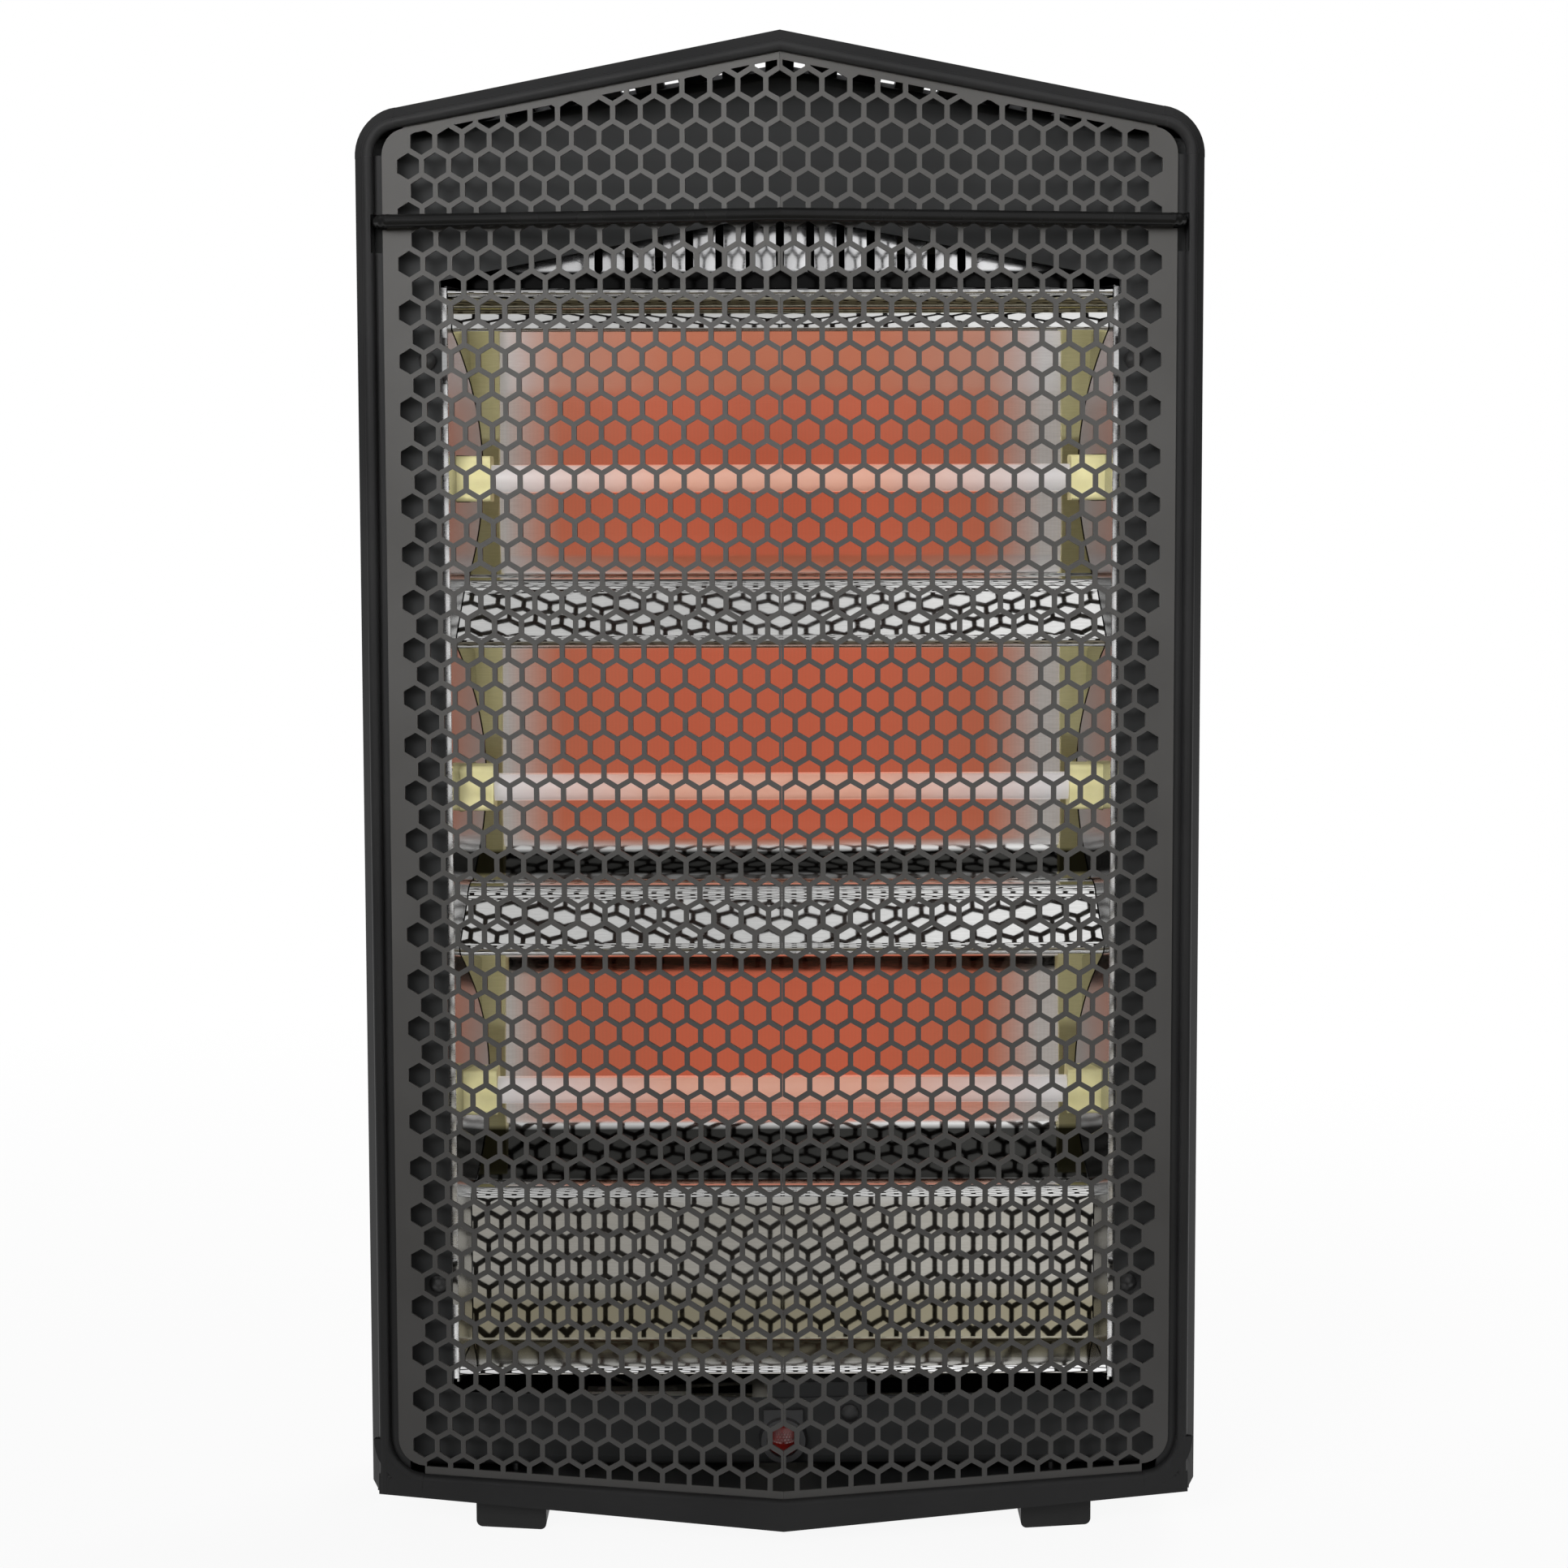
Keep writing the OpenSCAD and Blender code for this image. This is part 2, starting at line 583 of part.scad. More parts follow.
// Reflector: one sheet pressed into a trough for each tube, ridges and a flat apron
trough_steps = 14;
function trough_front(q) = trough_v - q * q / (4 * (q > 0 ? trough_f_up : trough_f_low));
function trough_line(z, t) = [for (i = [0 : trough_steps])
    let (q = trough_up - (trough_up + trough_down) * i / trough_steps - trough_rise)
    [trough_front(q) + t, z + trough_rise + q]];
trough_up_v = trough_front(trough_up - trough_rise);
apron_v = trough_front(-trough_down - trough_rise);
apron_low_z = reflector_low_z + 9;
function reflector_line(t) = concat(
    [[rim_v, reflector_top_z - reflector_t + t], [trough_up_v + t, reflector_top_z - reflector_t + t]],
    [for (z = tube_z) each trough_line(z, t)],
    [[apron_v + t, apron_low_z - t], [rim_v, reflector_low_z + reflector_t - t]]);
function back_to_front(list) = [for (i = [len(list) - 1 : -1 : 0]) list[i]];
reflector_section = concat(reflector_line(0), back_to_front(reflector_line(reflector_t)));

module reflector() color("#dcdcdc") at_fold() intersection() {
    translate([-rim_w / 2, 0, 0]) rotate([90, 0, 90]) linear_extrude(rim_w) polygon(reflector_section);
    linear_extrude(big) polygon([[-end_x(rim_v) + fit_gap, rim_v], [end_x(rim_v) - fit_gap, rim_v],
        [end_x(trough_v + 4) - fit_gap, trough_v + 4], [-end_x(trough_v + 4) + fit_gap, trough_v + 4]]);
}

// Flared end plate with its rolled rim and the lugs behind the inner panel
end_back_v = trough_v + 5;
lug_half = 9;
module reflector_end() difference() {
    union() {
        translate([0, 0, reflector_low_z]) linear_extrude(reflector_top_z - reflector_low_z) polygon([
            [end_x(rim_v), rim_v], [end_x(rim_v) + reflector_t, rim_v], [end_x(rim_v) + reflector_t, rim_v + rim_roll],
            [end_x(end_back_v) + reflector_t, end_back_v], [end_x(end_back_v), end_back_v]]);
        for (z = [panel_screw_low_z, panel_screw_top_z]) translate([end_x(rim_v), panel_back + fit_gap / 3, z - lug_half])
            cube([panel_screw_x + screw_head_d - end_x(rim_v), reflector_t, 2 * lug_half]);
        for (z = [panel_screw_low_z, panel_screw_top_z]) translate([end_x(rim_v), panel_back + fit_gap / 3, z - lug_half])
            cube([reflector_t, rim_v + rim_roll - panel_back, 2 * lug_half]);
    }
    for (z = [panel_screw_low_z, panel_screw_top_z]) translate([panel_screw_x, panel_v, z])
        rotate([-90, 0, 0]) cylinder(d = screw_d + 2 * screw_gap, h = panel_flange);
    for (z = tube_z) translate([0, tube_v - cap_side / 2 - fit_gap, z - cap_side / 2 - fit_gap])
        cube([big, cap_side + 2 * fit_gap, cap_side + 2 * fit_gap]);
}

module reflector_end_left() color("#c8c8ca") at_fold() mirror([1, 0, 0]) reflector_end();
module reflector_end_right() color("#c8c8ca") at_fold() reflector_end();

// Clip behind the panel, screwed to it, whose tongue carries the lower rim of the reflector
clip_low_x = -6.4;
clip_high_x = clip_screw[0] + 7;
clip_t = 0.8;
clip_tongue = 9;
clip_top_z = reflector_low_z - fit_gap;
clip_lug = 6; // the lug reaches this far round the screw
module reflector_clip() color("#3a3a3a") at_fold() difference() {
    translate([0, panel_back + fit_gap / 3, 0]) {
        translate([clip_low_x, 0, opening_low_z - 2.5]) cube([clip_high_x - clip_low_x, clip_t, clip_top_z - opening_low_z + 2.5]);
        translate([clip_low_x, 0, clip_top_z - clip_t]) cube([clip_high_x - clip_low_x, clip_tongue, clip_t]);
        translate([clip_screw[0] - clip_lug, 0, clip_screw[1] - clip_lug]) cube([2 * clip_lug, clip_t, 2 * clip_lug]);
    }
    translate([clip_screw[0], panel_v, clip_screw[1]]) rotate([-90, 0, 0])
        cylinder(d = screw_d + 2 * screw_gap, h = panel_flange);
}

// Quartz tubes with the coils inside
module quartz_tube(z) color("#e8e0dc") at_fold() translate([-tube_half, tube_v, z]) rotate([0, 90, 0]) difference() {
    cylinder(d = tube_d, h = 2 * tube_half);
    translate([0, 0, -1]) cylinder(d = tube_d - 2 * tube_wall, h = 2 * tube_half + 2);
}
module quartz_tube_top() quartz_tube(tube_z[0]);
module quartz_tube_middle() quartz_tube(tube_z[1]);
module quartz_tube_bottom() quartz_tube(tube_z[2]);

// A round wire swept along points, as one closed tube of triangles
function unit(v) = v / norm(v);
function frame_at(points, i) =
    let (last = len(points) - 1,
        way = unit(points[min(i + 1, last)] - points[max(i - 1, 0)]),
        side = unit(cross(way, abs(way[0]) > 0.9 ? [0, 0, 1] : [1, 0, 0])))
    [side, cross(way, side)];
module swept_tube(points, d, sides) {
    rings = len(points);
    corners = [for (i = [0 : rings - 1]) let (f = frame_at(points, i)) for (k = [0 : sides - 1])
        points[i] + d / 2 * (cos(360 * k / sides) * f[0] + sin(360 * k / sides) * f[1])];
    walls = [for (i = [0 : rings - 2]) for (k = [0 : sides - 1])
        let (a = i * sides + k, b = i * sides + (k + 1) % sides) each [[a, b, a + sides], [b, b + sides, a + sides]]];
    ends = [for (k = [1 : sides - 2]) each [[0, k + 1, k], [0, k, k + 1] + [1, 1, 1] * (rings - 1) * sides]];
    polyhedron(points = corners, faces = [for (f = concat(walls, ends)) [f[2], f[1], f[0]]]);
}

// Points of a helix along an axis: curls of a radius, wound from one end to the other
helix_steps = 8;
function helix(r, from, to, curls) = [for (i = [0 : curls * helix_steps])
    let (a = 360 * i / helix_steps) [from + (to - from) * i / (curls * helix_steps), r * cos(a), r * sin(a)]];
coil_r = (coil_d - coil_wire_d) / 2;
coil_points = helix(coil_r, -coil_l / 2, coil_l / 2, coil_curls);
// Least gap of a wound wire to itself, measured between its points that are half a curl apart or more
function least_gap(points, d) = min([for (i = [0 : len(points) - 1])
    for (j = [i + helix_steps / 2 : 1 : len(points) - 1]) norm(points[i] - points[j])]) - d;
echo(coil_gap = least_gap(coil_points, coil_wire_d));

module heating_coil(z) color("#d2502a") at_fold() translate([0, tube_v, z]) {
    swept_tube(concat([[-coil_l / 2 - 2 * coil_wire_d, coil_r, 0]], coil_points,
        [[coil_l / 2 + 2 * coil_wire_d, coil_r, 0]]), coil_wire_d, 6);
}
module heating_coil_top() heating_coil(tube_z[0]);
module heating_coil_middle() heating_coil(tube_z[1]);
module heating_coil_bottom() heating_coil(tube_z[2]);

// Ceramic cap: a rounded square block with the tube's seat and a hole for the lead
cap_r = 2.5;
module ceramic_cap(side, z) color("#e6dfae") at_fold() translate([0, tube_v, z]) mirror([side < 0 ? 1 : 0, 0, 0])
    translate([cap_in, 0, 0]) rotate([0, 90, 0]) difference() {
        linear_extrude(cap_l) {
            square([cap_side - 2 * cap_r, cap_side], center = true);
            square([cap_side, cap_side - 2 * cap_r], center = true);
            for (x = [-1, 1]) for (y = [-1, 1]) translate([x, y] * (cap_side / 2 - cap_r)) circle(r = cap_r);
        }
        translate([0, 0, -1]) cylinder(d = tube_d + 2 * seat_gap, h = cap_bore_l + 1);
        cylinder(d = lead_d + 4 * screw_gap, h = cap_l + 1);
    }
module ceramic_cap_top_left() ceramic_cap(-1, tube_z[0]);
module ceramic_cap_top_right() ceramic_cap(1, tube_z[0]);
module ceramic_cap_middle_left() ceramic_cap(-1, tube_z[1]);
module ceramic_cap_middle_right() ceramic_cap(1, tube_z[1]);
module ceramic_cap_bottom_left() ceramic_cap(-1, tube_z[2]);
module ceramic_cap_bottom_right() ceramic_cap(1, tube_z[2]);

// Heat shield: a bright tray behind the reflector, slotted at its top
module heat_shield() color("#cfcfd2") at_fold() difference() {
    translate([0, 0, shield_low_z]) linear_extrude(shield_top_z - shield_low_z) {
        translate([-shield_half, shield_v]) square([2 * shield_half, shield_t]);
        for (x = [-shield_half, shield_half - shield_t]) translate([x, panel_back + fit_gap])
            square([shield_t, shield_v - panel_back - fit_gap + shield_t]);
    }
    for (i = [0 : shield_slots - 1]) translate([(i - (shield_slots - 1) / 2) * shield_slot_pitch, shield_v - 1, shield_slot_z]) {
        rotate([-90, 0, 0]) cylinder(d = shield_slot_w, h = shield_t + 2);
        translate([-shield_slot_w / 2, 0, 0]) cube([shield_slot_w, shield_t + 2, shield_slot_reach - shield_slot_end]);
    }
}

// Over-heat cut-out on the back of the shield
cutout_z = shield_top_z - 75;
module thermal_cutout() color("#202022") at_fold() translate([0, shield_v + shield_t + fit_gap / 3, cutout_z]) rotate([-90, 0, 0]) {
    cylinder(d = 17, h = 2);
    cylinder(d = 14, h = 9);
    translate([-12, -4, 0]) cube([24, 8, 0.8]);
    for (x = [-4.5, 4.5]) translate([x - 0.4, -3, 8]) cube([0.8, 6, 9]);
}

// Housing: three outlines that meet, one for each direction of view
function housing_face(inset) =
    let (half = housing_half - inset, peak = housing_peak - inset / gable_c, slope = atan(gable_t / fold_c),
        r = eave_r - 1 - inset, cx = half - r, cz = peak - cx * tan(slope) - r / cos(slope))
    concat([[-half, housing_low], [half, housing_low]],
        arc([cx, cz], r, 0, 90 - slope, 10), [[0, peak]], arc([-cx, cz], r, 90 + slope, 180, 10));
function housing_plan(inset, front) =
    let (half = housing_half - inset, back = housing_v - inset, r = housing_rear_r - inset)
    concat([[0, front], [half, front + half * fold_t]], arc([half - r, back - r], r, 0, 90, 12),
        arc([r - half, back - r], r, 90, 180, 12), [[-half, front + half * fold_t]]);
function housing_side(inset) =
    let (low = [housing_v - inset, facet_low_z - inset * tan(facet_tilt / 2)])
    [[-big, -big], [low[0], -big], low, low + big * [-sin(facet_tilt), cos(facet_tilt)], [-big, big]];

module housing_form(inset, front) intersection() {
    slab(-big / 2, big) polygon(housing_face(inset));
    linear_extrude(big) polygon(housing_plan(inset, front));
    rotate([90, 0, 90]) linear_extrude(2 * big, center = true) polygon(housing_side(inset));
}

// Draws on the sloped facet: z points out of it, y runs down it
module on_facet(x) translate([x, knob_v, knob_z]) rotate([facet_tilt - 90, 0, 0]) children();

// A slot with round ends, cut along y
module vent_slot(length, height, depth) {
    translate([0, 0, 0]) cube([length - height, depth, height], center = true);
    for (x = [-1, 1]) translate([x * (length - height) / 2, 0, 0]) rotate([90, 0, 0]) cylinder(d = height, h = depth, center = true);
}

handle_z = facet_low_z - 63;
handle_w = 124;
handle_h = 40;
handle_depth = 30;
cup_wall = 2;
gland_x = housing_rear_r + 25.8 - housing_half;
gland_z = 44;
gland_d = 13;
rear_vent_z = 150;
rear_vent_x = 48;
top_vent_v = panel_v + 9;
top_vents = 7; // on each side of the peak
boss_front = 29;
boss_back = 27;
boss_v = [panel_v + boss_front, housing_v - boss_back];
boss_d = 10;
boss_x = inner_half - boss_d / 2 + 0.6;
boss_h = 24;
boss_floor = 4;
screw_short = 8;
bush_d = 10;

module rear_housing() color("#242425") at_fold() difference() {
    union() {
        difference() {
            housing_form(0, housing_front);
            housing_form(housing_wall, -big / 2);
            translate([-big / 2, -big / 2, -big + housing_low]) cube([big, big, big]);
        }
        intersection() {
            housing_form(tongue_inset, housing_front - tongue_l);
            translate([0, 0, base_top + chin_h]) linear_extrude(facet_low_z - base_top)
                difference() {
                    polygon(housing_plan(tongue_inset, housing_front - tongue_l));
                    polygon(housing_plan(housing_wall + tongue_lap, -big / 2));
                    translate([-big / 2, panel_flange + panel_v]) square(big);
                }
        }
        for (x = [-boss_x, boss_x]) for (v = boss_v) translate([x, v, base_top + fit_gap]) cylinder(d = boss_d, h = boss_h);
    }
    for (x = [-boss_x, boss_x]) for (v = boss_v) translate([x, v, base_top - 1]) cylinder(d = screw_d + 2 * screw_gap, h = boss_h - boss_floor);
    for (i = [0 : top_vents - 1]) for (side = [-1, 1])
        translate([side * (i + 0.5) * top_vent_pitch - top_vent_w / 2, top_vent_v, eave_z - eave_r]) cube([top_vent_w, top_vent_l, big]);
    for (i = [0 : rear_vent_rows - 1]) for (side = [-1, 1])
        translate([side * rear_vent_x, housing_v, rear_vent_z + i * rear_vent_pitch]) vent_slot(rear_vent_l, rear_vent_h, 4 * housing_wall);
    translate([-handle_w / 2, housing_v - 2 * housing_wall, handle_z - handle_h / 2]) cube([handle_w, 4 * housing_wall, handle_h]);
    for (x = [-knob_x, knob_x]) on_facet(x) cylinder(d = bush_d + 2 * seat_gap, h = 4 * housing_wall, center = true);
    translate([gland_x, housing_v - 2 * housing_wall, gland_z]) rotate([-90, 0, 0]) cylinder(d = gland_d + 2 * seat_gap, h = 4 * housing_wall);
}

// Hand grip: a cup set into the rear wall, with a lip that covers the edge of the cut
module handle_cup() color("#1d1d1e") at_fold() translate([0, housing_v, handle_z]) difference() {
    union() {
        translate([-handle_w / 2 + fit_gap, -handle_depth, -handle_h / 2 + fit_gap])
            cube([handle_w - 2 * fit_gap, handle_depth, handle_h - 2 * fit_gap]);
        translate([-handle_w / 2 - 4, seat_gap, -handle_h / 2 - 4]) cube([handle_w + 8, 2, handle_h + 8]);
        translate([-handle_w / 2 + fit_gap, -fit_gap, -handle_h / 2 + fit_gap])
            cube([handle_w - 2 * fit_gap, 1, handle_h - 2 * fit_gap]);
    }
    translate([-handle_w / 2 + cup_wall, -handle_depth + cup_wall, -handle_h / 2 + cup_wall])
        cube([handle_w - 2 * cup_wall, handle_depth + 10, handle_h - 2 * cup_wall]);
}

// Base plate with the hole that guides the tip-over plunger
module base_plate() color("#2b2b2c") at_fold() difference() {
    translate([0, 0, base_z]) linear_extrude(base_t) polygon(housing_plan(housing_wall + fit_gap, base_front));
    translate([0, tip_v, 0]) cylinder(d = tip_rod_d + 2 * run_gap, h = big);
    for (x = [-boss_x, boss_x]) for (v = boss_v) translate([x, v, 0]) cylinder(d = screw_d + 2 * screw_gap, h = big);
    for (x = [-foot_x, foot_x]) for (v = foot_screw_v) translate([x, v, 0]) cylinder(d = screw_d + 2 * screw_gap, h = big);
}

// A screw that points up, with its head below
module up_screw(length) {
    mirror([0, 0, 1]) translate([0, 0, fit_gap / 3]) cylinder(d1 = screw_head_d, d2 = screw_head_d - screw_head_taper, h = screw_head_h);
    translate([0, 0, -fit_gap / 3]) cylinder(d = screw_d, h = length);
}

module base_screws() color("silver") at_fold()
    for (x = [-boss_x, boss_x]) for (v = boss_v) translate([x, v, base_z]) up_screw(boss_h - screw_short);

// Foot rails: rounded bars from front to back, cut square to the folded front
foot_screw_front = 23;
foot_screw_back = 20;
foot_screw_v = [panel_v + foot_screw_front, foot_back_v - foot_screw_back];
foot_bore_h = 8;
foot_screw_end = 3;
foot_bore_gap = 1;
module foot_outline() {
    translate([-foot_w / 2, foot_corner_r]) square([foot_w, base_z - seat_gap - foot_corner_r]);
    translate([-foot_w / 2 + foot_corner_r, 0]) square([foot_w - 2 * foot_corner_r, base_z / 2]);
    for (x = [-1, 1]) translate([x * (foot_w / 2 - foot_corner_r), foot_corner_r]) circle(r = foot_corner_r);
}
module foot() difference() {
    intersection() {
        translate([foot_x, 0, 0]) slab(0, foot_back_v) foot_outline();
        linear_extrude(base_z) polygon([[0, base_front + fit_gap], [overall_w / 2, base_front + fit_gap + overall_w / 2 * fold_t],
            [overall_w / 2, foot_back_v], [0, foot_back_v]]);
    }
    for (v = foot_screw_v) translate([foot_x, v, 0]) {
        translate([0, 0, -1]) cylinder(d = screw_head_d + 2 * foot_bore_gap, h = foot_bore_h + 1);
        cylinder(d = screw_d + 2 * screw_gap, h = base_z + 1);
    }
}
module foot_left() color("#2a2a2b") at_fold() mirror([1, 0, 0]) foot();
module foot_right() color("#2a2a2b") at_fold() foot();
module foot_screws() color("silver") at_fold()
    for (x = [-foot_x, foot_x]) for (v = foot_screw_v) translate([x, v, foot_bore_h]) up_screw(base_top + foot_screw_end - foot_bore_h);

// Indicator: bezel with a flat lower edge and a tab, domed lens, and the lamp behind
bezel_t = 4;
module indicator_bezel() color("#3d3d3f") at_fold() translate([0, panel_v - fit_gap / 3, indicator_z]) rotate([90, 0, 0]) difference() {
    union() {
        intersection() {
            cylinder(d1 = bezel_d, d2 = bezel_d - 2, h = bezel_t);
            translate([-bezel_d, -bezel_d / 2 + 1, 0]) cube([2 * bezel_d, 2 * bezel_d, bezel_t]);
        }
        translate([-bezel_d * 0.4, 0, 0]) cube([bezel_d * 0.8, bezel_d / 2 + 2.4, bezel_t / 2]);
    }
    translate([0, 0, -1]) cylinder(d = lens_d + 2 * seat_gap, h = bezel_t + 2);
}
module indicator_lens() color("#8a1c14") at_fold() translate([0, panel_v, indicator_z]) rotate([90, 0, 0]) intersection() {
    translate([0, 0, -panel_t - 5]) cylinder(d = lens_d, h = panel_t + 15);
    translate([0, 0, -2]) sphere(d = lens_d + 3);
}
module indicator_lamp() color("#e7d9c8") at_fold() translate([0, panel_v + 8, indicator_z]) rotate([-90, 0, 0]) {
    cylinder(d = lens_d - 3, h = 14);
    translate([0, 0, 14]) cylinder(d = lens_d, h = 6);
}

// Rotary control behind the facet: body and bush; its knob carries the shaft
control_depth = 24;
module control_body(side) difference() {
    union() {
        translate([0, 0, -housing_wall - seat_gap - control_depth / 2]) cube([side, side, control_depth], center = true);
        translate([0, 0, -housing_wall - 1]) cylinder(d = bush_d, h = housing_wall + 1.6);
        for (x = [-side / 3, side / 3]) translate([x - 0.4, -3, -housing_wall - control_depth - 8]) cube([0.8, 6, 9]);
    }
    translate([0, 0, -housing_wall - control_depth + 6]) cylinder(d = shaft_d + 2 * run_gap, h = big);
}
module control_knob(turn) rotate([0, 0, turn]) {
    translate([0, 0, 2]) cylinder(d1 = knob_d, d2 = knob_d - 1, h = 4);
    intersection() {
        translate([0, 0, 6]) cylinder(d1 = knob_d - 3, d2 = knob_d - 7, h = knob_h - 6);
        translate([-knob_d / 8, -knob_d / 2, 2]) cube([knob_d / 4, knob_d, knob_h - 2]);
    }
    translate([0, 0, -housing_wall - control_depth + 8]) cylinder(d = shaft_d, h = housing_wall + control_depth - 4);
}
selector_side = 32;
thermostat_side = 30;
thermostat_rest = 135; // the thermostat's pointer is drawn at the middle of its turn
module selector_switch() color("#e9e6de") at_fold() on_facet(-knob_x) control_body(selector_side);
module selector_knob() color("#202021") at_fold() on_facet(-knob_x) control_knob(0);
module thermostat_body() color("#8d7a55") at_fold() on_facet(knob_x) control_body(thermostat_side);
module thermostat_knob() color("#202021") at_fold() on_facet(knob_x) control_knob(thermostat_rest);

// Tip-over switch: body on the base plate, plunger through it, spring inside
tip_body_w = 26;
module tip_switch() color("#d8d2c4") at_fold() translate([0, tip_v, base_top]) difference() {
    union() {
        translate([-tip_body_w / 2, -tip_body_w / 2, seat_gap]) cube([tip_body_w, tip_body_w, tip_body_h]);
        translate([-tip_body_w / 2 - 8, -tip_body_w / 4, seat_gap]) cube([tip_body_w + 16, tip_body_w / 2, 2]);
        for (x = [-6, 6]) translate([x - 0.4, -3, tip_body_h - 1]) cube([0.8, 6, 9]);
    }
    translate([0, 0, -1]) cylinder(d = tip_bore_d, h = tip_bore_h + 1);
}
module tip_plunger() color("#b03a2a") at_fold() translate([0, tip_v, 0]) {
    translate([0, 0, tip_lift]) cylinder(d1 = tip_foot_d - 1, d2 = tip_foot_d, h = tip_foot_t);
    translate([0, 0, tip_lift + 1]) cylinder(d = tip_rod_d, h = tip_collar_z + 1 - tip_lift - 1);
    translate([0, 0, tip_collar_z]) cylinder(d = tip_collar_d, h = tip_collar_t);
    translate([0, 0, tip_collar_z]) cylinder(d = tip_spring_d - 4, h = tip_collar_t + 8);
}
tip_spring_r = (tip_spring_d - tip_spring_wire) / 2;
tip_spring_points = [for (p = helix(tip_spring_r, tip_spring_low + tip_spring_wire / 2, tip_spring_high - tip_spring_wire / 2, tip_spring_curls))
    [p[1], p[2], p[0]]];
echo(tip_spring_gap = least_gap(tip_spring_points, tip_spring_wire));
module tip_spring() color("silver") at_fold() translate([0, tip_v, 0]) swept_tube(tip_spring_points, tip_spring_wire, 6);

// Terminal block on the base plate
block_x = -62;
block_v = housing_v - 43;
block_size = [44, 18, 15];
module terminal_block() color("#dedede") at_fold() translate([block_x - block_size[0] / 2, block_v - block_size[1] / 2, base_top + seat_gap]) difference() {
    union() {
        cube([block_size[0], block_size[1], block_size[2] * 0.55]);
        translate([0, block_size[1] / 4, 0]) cube([block_size[0], block_size[1] / 2, block_size[2]]);
    }
    for (i = [0.5 : 1 : 2.5]) translate([i * block_size[0] / 3, block_size[1] / 2, block_size[2] - 6]) cylinder(d = 6, h = 7);
}

// Cord gland in the rear wall
gland_bore_d = 7.5;
module cord_gland() color("#161617") at_fold() translate([gland_x, housing_v, gland_z]) rotate([-90, 0, 0]) difference() {
    union() {
        translate([0, 0, seat_gap]) cylinder(d1 = gland_d + 5, d2 = gland_d + 3, h = gland_flange_t);
        translate([0, 0, -housing_wall - 6]) cylinder(d = gland_d, h = housing_wall + 8);
        translate([0, 0, -housing_wall - 6]) cylinder(d = gland_d + 4, h = 6 - seat_gap);
    }
    translate([0, 0, -20]) cylinder(d = gland_bore_d, h = 40);
}

// Internal wires: the leads of the tubes meet in an upright on each side, which runs under the
// shield to the terminal block; from there a wire goes up to each control
lead_wire_d = 1.6;
cap_out = cap_in + cap_l;
wire_x = cap_out + 3;
wire_v = tube_v + 14;
wire_low_z = base_top + block_size[2] / 2;
wire_rear_v = block_v + block_size[1] / 2 + 8;
block_back = block_v + block_size[1] / 2 + fit_gap;
control_v = knob_v - (control_depth + housing_wall + 8) * facet_n[1];
control_z = knob_z - (control_depth + housing_wall + 12) * facet_n[2];
feed_x = block_size[0] / 3;
module wiring() color("#b8b4a8") at_fold() {
    for (side = [-1, 1]) {
        for (z = tube_z) wire_run([[side * (cap_out - 4), tube_v, z], [side * wire_x, tube_v, z],
            [side * wire_x, wire_v, z - wire_v + tube_v]], lead_wire_d);
        wire_run([[side * wire_x, wire_v, tube_z[0] - wire_v + tube_v + 1], [side * wire_x, wire_v, wire_low_z],
            [side * wire_x, wire_rear_v, wire_low_z], [block_x + side * feed_x, wire_rear_v, wire_low_z],
            [block_x + side * feed_x, block_back, wire_low_z]], lead_wire_d);
    }
    for (x = [-knob_x, knob_x]) wire_run([[block_x, block_back, wire_low_z + 3], [block_x, wire_rear_v, wire_low_z + 3],
        [x * 1.35, wire_rear_v - 8, wire_low_z + 12], [x * 1.35, control_v, control_z - 60], [x * 1.18, control_v, control_z]], lead_wire_d);
}

front_frame();
front_grille_left();
front_grille_right();
guard_wire();
inner_panel();
panel_screws();
reflector();
reflector_end_left();
reflector_end_right();
reflector_clip();
quartz_tube_top();
quartz_tube_middle();
quartz_tube_bottom();
heating_coil_top();
heating_coil_middle();
heating_coil_bottom();
ceramic_cap_top_left();
ceramic_cap_top_right();
ceramic_cap_middle_left();
ceramic_cap_middle_right();
ceramic_cap_bottom_left();
ceramic_cap_bottom_right();
heat_shield();
thermal_cutout();
rear_housing();
handle_cup();
base_plate();
base_screws();
foot_left();
foot_right();
foot_screws();
indicator_bezel();
indicator_lens();
indicator_lamp();
selector_switch();
selector_knob();
thermostat_body();
thermostat_knob();
tip_switch();
tip_plunger();
tip_spring();
terminal_block();
cord_gland();
wiring();
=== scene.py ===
import json
import math

import bpy
from mathutils import Matrix, Vector


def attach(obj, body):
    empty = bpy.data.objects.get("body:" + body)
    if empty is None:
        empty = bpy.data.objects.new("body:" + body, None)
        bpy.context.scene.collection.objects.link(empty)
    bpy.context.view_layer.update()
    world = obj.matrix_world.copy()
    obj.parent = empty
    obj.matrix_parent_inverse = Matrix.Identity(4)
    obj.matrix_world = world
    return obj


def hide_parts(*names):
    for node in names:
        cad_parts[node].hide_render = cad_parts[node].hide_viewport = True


# Quartz heater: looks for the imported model, in metres, front towards -Y

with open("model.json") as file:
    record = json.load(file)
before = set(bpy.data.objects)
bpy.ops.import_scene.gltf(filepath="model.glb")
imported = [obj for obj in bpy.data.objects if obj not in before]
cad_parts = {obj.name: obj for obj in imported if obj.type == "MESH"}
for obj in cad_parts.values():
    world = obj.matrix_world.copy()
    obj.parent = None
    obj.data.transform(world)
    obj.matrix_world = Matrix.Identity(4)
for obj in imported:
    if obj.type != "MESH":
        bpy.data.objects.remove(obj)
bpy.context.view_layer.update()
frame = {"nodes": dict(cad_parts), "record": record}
nodes = frame["nodes"]
mm = 0.001
foldY = -80.592 * mm  # the fold line of the grille
tubeCentreY = foldY + 53.7 * mm
tubeHeights = {"top": 421.1 * mm, "middle": 297.9 * mm, "bottom": 174.7 * mm}
